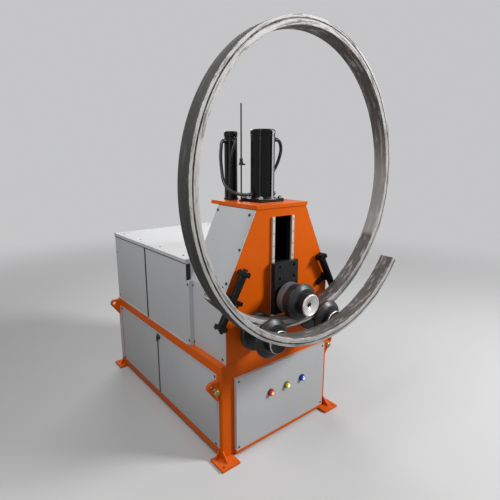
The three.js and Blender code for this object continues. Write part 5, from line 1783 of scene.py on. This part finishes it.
@dataclass
class SupportCylinder:
    """One side support cylinder along a slanted edge of the front plate."""

    side: Side
    body: Body
    x: float = 346.0
    reach: float = 32.0
    z: float = 880.0
    lean: float = 30.0
    half: float = 149.0
    cap: float = 24.0
    cap_long: float = 22.0
    barrel: float = 20.0
    screw: float = 16.0
    foot: tuple[Point, Point] = ((-24, 2, -20), (24, 31.7, 20))
    arm: float = 84.0

    def build(self) -> None:
        """Makes the cylinder's body and rod."""
        sign, word, tube, half = self.side.value, self.side.word, self.half - 1, self.half
        place = Matrix.Translation(spot(sign * self.x, -self.reach, self.z))
        place = place @ Matrix.Rotation(math.radians(-sign * self.lean), 4, "Y")
        barrel = [
            (16, -127), (16, 127), (19, 127), (19, tube), (self.barrel, tube - 1), (self.barrel, 1 - tube),
            (19, -tube), (19, -127),
        ]
        shape = Shape().turned(barrel, place, 40)
        for end in (-1, 1):
            low, high = end * half, end * (half - self.cap_long)
            shape.box((-self.cap, -self.cap, low), (self.cap, self.cap, high), place)
        shape.box(*self.foot, place)
        shape.box((0, 13.7, -11), (-sign * self.arm, 31.7, 11), place).soften(1.6)
        self.details(shape, place)
        shape.dress("support_cylinder_" + word, BLACK, node="support_body_" + word)
        rod = Shape().turned(disc(9, 20, 163), place, 24).turned(disc(15, 19, 43), place, 32)
        rod.nut(moved(place, 0, 0, half + 4), 24, 10)
        axis, middle = place.to_3x3() @ UP, place.translation - spot(0, 0, 0)
        rod.colour(lambda centre, normal: (centre * MM - middle).dot(axis) > (half + 3) * MM)
        rod.dress("support_rod_end_" + word, CHROME, CARBON, body=self.body, node="support_rod_" + word)

    def details(self, shape: Shape, place: Matrix) -> None:
        """Adds cap bolts, the gland ring and the port fitting.

        Args:
            shape: the body's shape.
            place: the cylinder's frame.
        """
        flip = Matrix.Rotation(math.pi, 4, "X")
        for x in (-self.screw, self.screw):
            for y in (-self.screw, self.screw):
                shape.socket_screw(moved(place, x, y, self.half), 5, 5)
                shape.socket_screw(moved(place, x, y, -self.half) @ flip, 5, 5)
        gland = [(9.4, 0), (13, 0), (13, 2.4), (9.4, 2.4)]
        shape.turned(gland, moved(place, 0, 0, self.half), 24)
        port = moved(place, 12, 0, -self.half) @ flip
        shape.nut(port, 17, 10).turned(disc(6.5, 9, 16), port, 16)


@dataclass
class PowerPack:
    """Inner nodes that stay as they are and only get their finish."""

    finishes: dict[str, Finish] = field(default_factory=lambda: {
        "floor_tray": GREY, "cabinet_bulkhead": GREY, "oil_tank": BLACK, "pump_motor": BLACKENED,
        "drive_left": BLACKENED, "drive_right": BLACKENED,
    })

    def build(self) -> None:
        """Puts procedural finishes on the carried-over CAD nodes."""
        for name, finish in self.finishes.items():
            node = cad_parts[name]
            node.data.materials.clear()
            node.data.materials.append(finish.material())
            LOG.info("%s: CAD node with %s", name, finish.name)


@dataclass
class Studio:
    """Plain pale floor, soft light and the camera at the photograph's angle."""

    backdrop: Colour = (0.56, 0.56, 0.57)
    ambient: float = 0.09
    eye: Point = (-1403.5, -1464.0, 1529.8)
    yaw: float = 0.682354161
    pitch: float = 0.222515922
    roll: float = 0.00246944
    lens: float = 28.5465
    sensor: float = 36.0
    floor_size: float = 40.0
    floor_tone: Colour = (0.6, 0.6, 0.605)
    floor_grain: Colour = (0.5, 0.5, 0.505)
    floor_unseen: Colour = (0.34, 0.34, 0.34)
    floor_fade: Pair = (1.6, 6.5)
    look_at: Point = (0, -0.2, 0.9)
    lamps: Sequence[tuple[str, Point, Pair, float]] = (
        ("key_softbox", (3.6, -3.9, 3.75), (1.4, 1.4), 330),
        ("top_softbox", (-1.7, -0.6, 3.6), (1.8, 1.8), 54),
        ("rear_softbox", (1.4, 3.0, 3.2), (2.0, 2.0), 60),
        ("strip_softbox", (-2.72, -1.72, 1.7), (0.3, 2.0), 10),
    )

    def build(self) -> None:
        """Makes the floor, world, lamps and camera."""
        scene = bpy.context.scene
        scene.view_settings.view_transform = "Standard"
        self.floor()
        self.world(scene)
        for name, place, size, power in self.lamps:
            light = bpy.data.lights.new(name, "AREA")
            light.shape = "RECTANGLE"
            light.size, light.size_y = size
            light.energy = power
            lamp = bpy.data.objects.new(name, light)
            back = Vector(place) - Vector(self.look_at)
            turn = back.to_track_quat("Z", "Y").to_matrix().to_4x4()
            lamp.matrix_world = Matrix.Translation(place) @ turn
            scene.collection.objects.link(lamp)
        self.camera(scene)

    def floor(self) -> None:
        """Makes the floor, which fades into the backdrop far away."""
        bm = bmesh.new()
        bmesh.ops.create_circle(bm, cap_ends=True, segments=64, radius=self.floor_size)
        bmesh.ops.translate(bm, verts=bm.verts[:], vec=(0, 0, -0.0005))
        mesh = bpy.data.meshes.new("studio_floor")
        bm.to_mesh(mesh)
        bm.free()
        material = bpy.data.materials.new("finish_floor")
        graph = Graph.emptied(material)
        place = graph.add("TexCoord").outputs["Object"]
        seen = graph.add("LightPath").outputs["Is Camera Ray"]
        grain = graph.times(graph.noise(place, 3, 4), 0.1)
        colour = graph.mix(seen, self.floor_unseen, graph.mix(grain, self.floor_tone, self.floor_grain))
        near = graph.add(
            "BsdfPrincipled", {"Base Color": colour, "Roughness": 0.75, "Specular IOR Level": 0.2},
        )
        far = graph.add("Emission", {"Color": self.backdrop, "Strength": 1.0})
        distance = graph.add("VectorMath", {0: place}, operation="LENGTH").outputs["Value"]
        fade = graph.window(distance, *self.floor_fade)
        blend = graph.add("MixShader", {0: fade, 1: near.outputs[0], 2: far.outputs[0]})
        graph.add("OutputMaterial", {0: blend.outputs[0]})
        mesh.materials.append(material)
        floor = bpy.data.objects.new("studio_floor", mesh)
        bpy.context.scene.collection.objects.link(floor)

    def world(self, scene: bpy.types.Scene) -> None:
        """Makes the world: pale where it is seen or mirrored, plain ambient light otherwise.

        Args:
            scene: the scene.
        """
        scene.world = bpy.data.worlds.new("studio")
        graph = Graph.emptied(scene.world)
        rays = graph.add("LightPath").outputs
        seen = graph.math("MAXIMUM", rays["Is Camera Ray"], rays["Is Glossy Ray"])
        seen = graph.math("MAXIMUM", seen, rays["Is Transmission Ray"])
        pale = graph.add("Background", {"Color": self.backdrop, "Strength": 1.0})
        soft = graph.add("Background", {"Color": (1, 1, 1), "Strength": self.ambient})
        blend = graph.add("MixShader", {0: seen, 1: soft.outputs[0], 2: pale.outputs[0]})
        graph.add("OutputWorld", {0: blend.outputs[0]})

    def camera(self, scene: bpy.types.Scene) -> None:
        """Makes the camera.

        Args:
            scene: the scene.
        """
        data = bpy.data.cameras.new("photo_camera")
        data.lens = self.lens
        data.sensor_width = self.sensor
        data.clip_end = 200
        camera = bpy.data.objects.new("photo_camera", data)
        turn = Matrix.Rotation(-self.yaw, 4, "Z") @ Matrix.Rotation(math.pi / 2 - self.pitch, 4, "X")
        camera.matrix_world = Matrix.Translation(spot(*self.eye)) @ turn @ Matrix.Rotation(self.roll, 4, "Z")
        scene.collection.objects.link(camera)
        scene.camera = camera


def main() -> None:
    """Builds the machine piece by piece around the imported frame."""
    logging.basicConfig(level=logging.INFO, format="%(message)s", stream=sys.stdout)
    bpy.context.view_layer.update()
    assemblies = (
        Studio(), BaseFrame(), Head(), Cabinet(), SideDoors(), ControlPanel(), MainCylinder(),
        ReturnCylinder(), SlideAndRam(), Rollers(), BentSection(),
        SupportCylinder(Side.LEFT, Body.SUPPORT_LEFT), SupportCylinder(Side.RIGHT, Body.SUPPORT_RIGHT),
        PowerPack(),
    )
    for assembly in assemblies:
        assembly.build()
        LOG.info("built %s", type(assembly).__name__)
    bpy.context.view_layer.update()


if __name__ == "__main__":
    main()
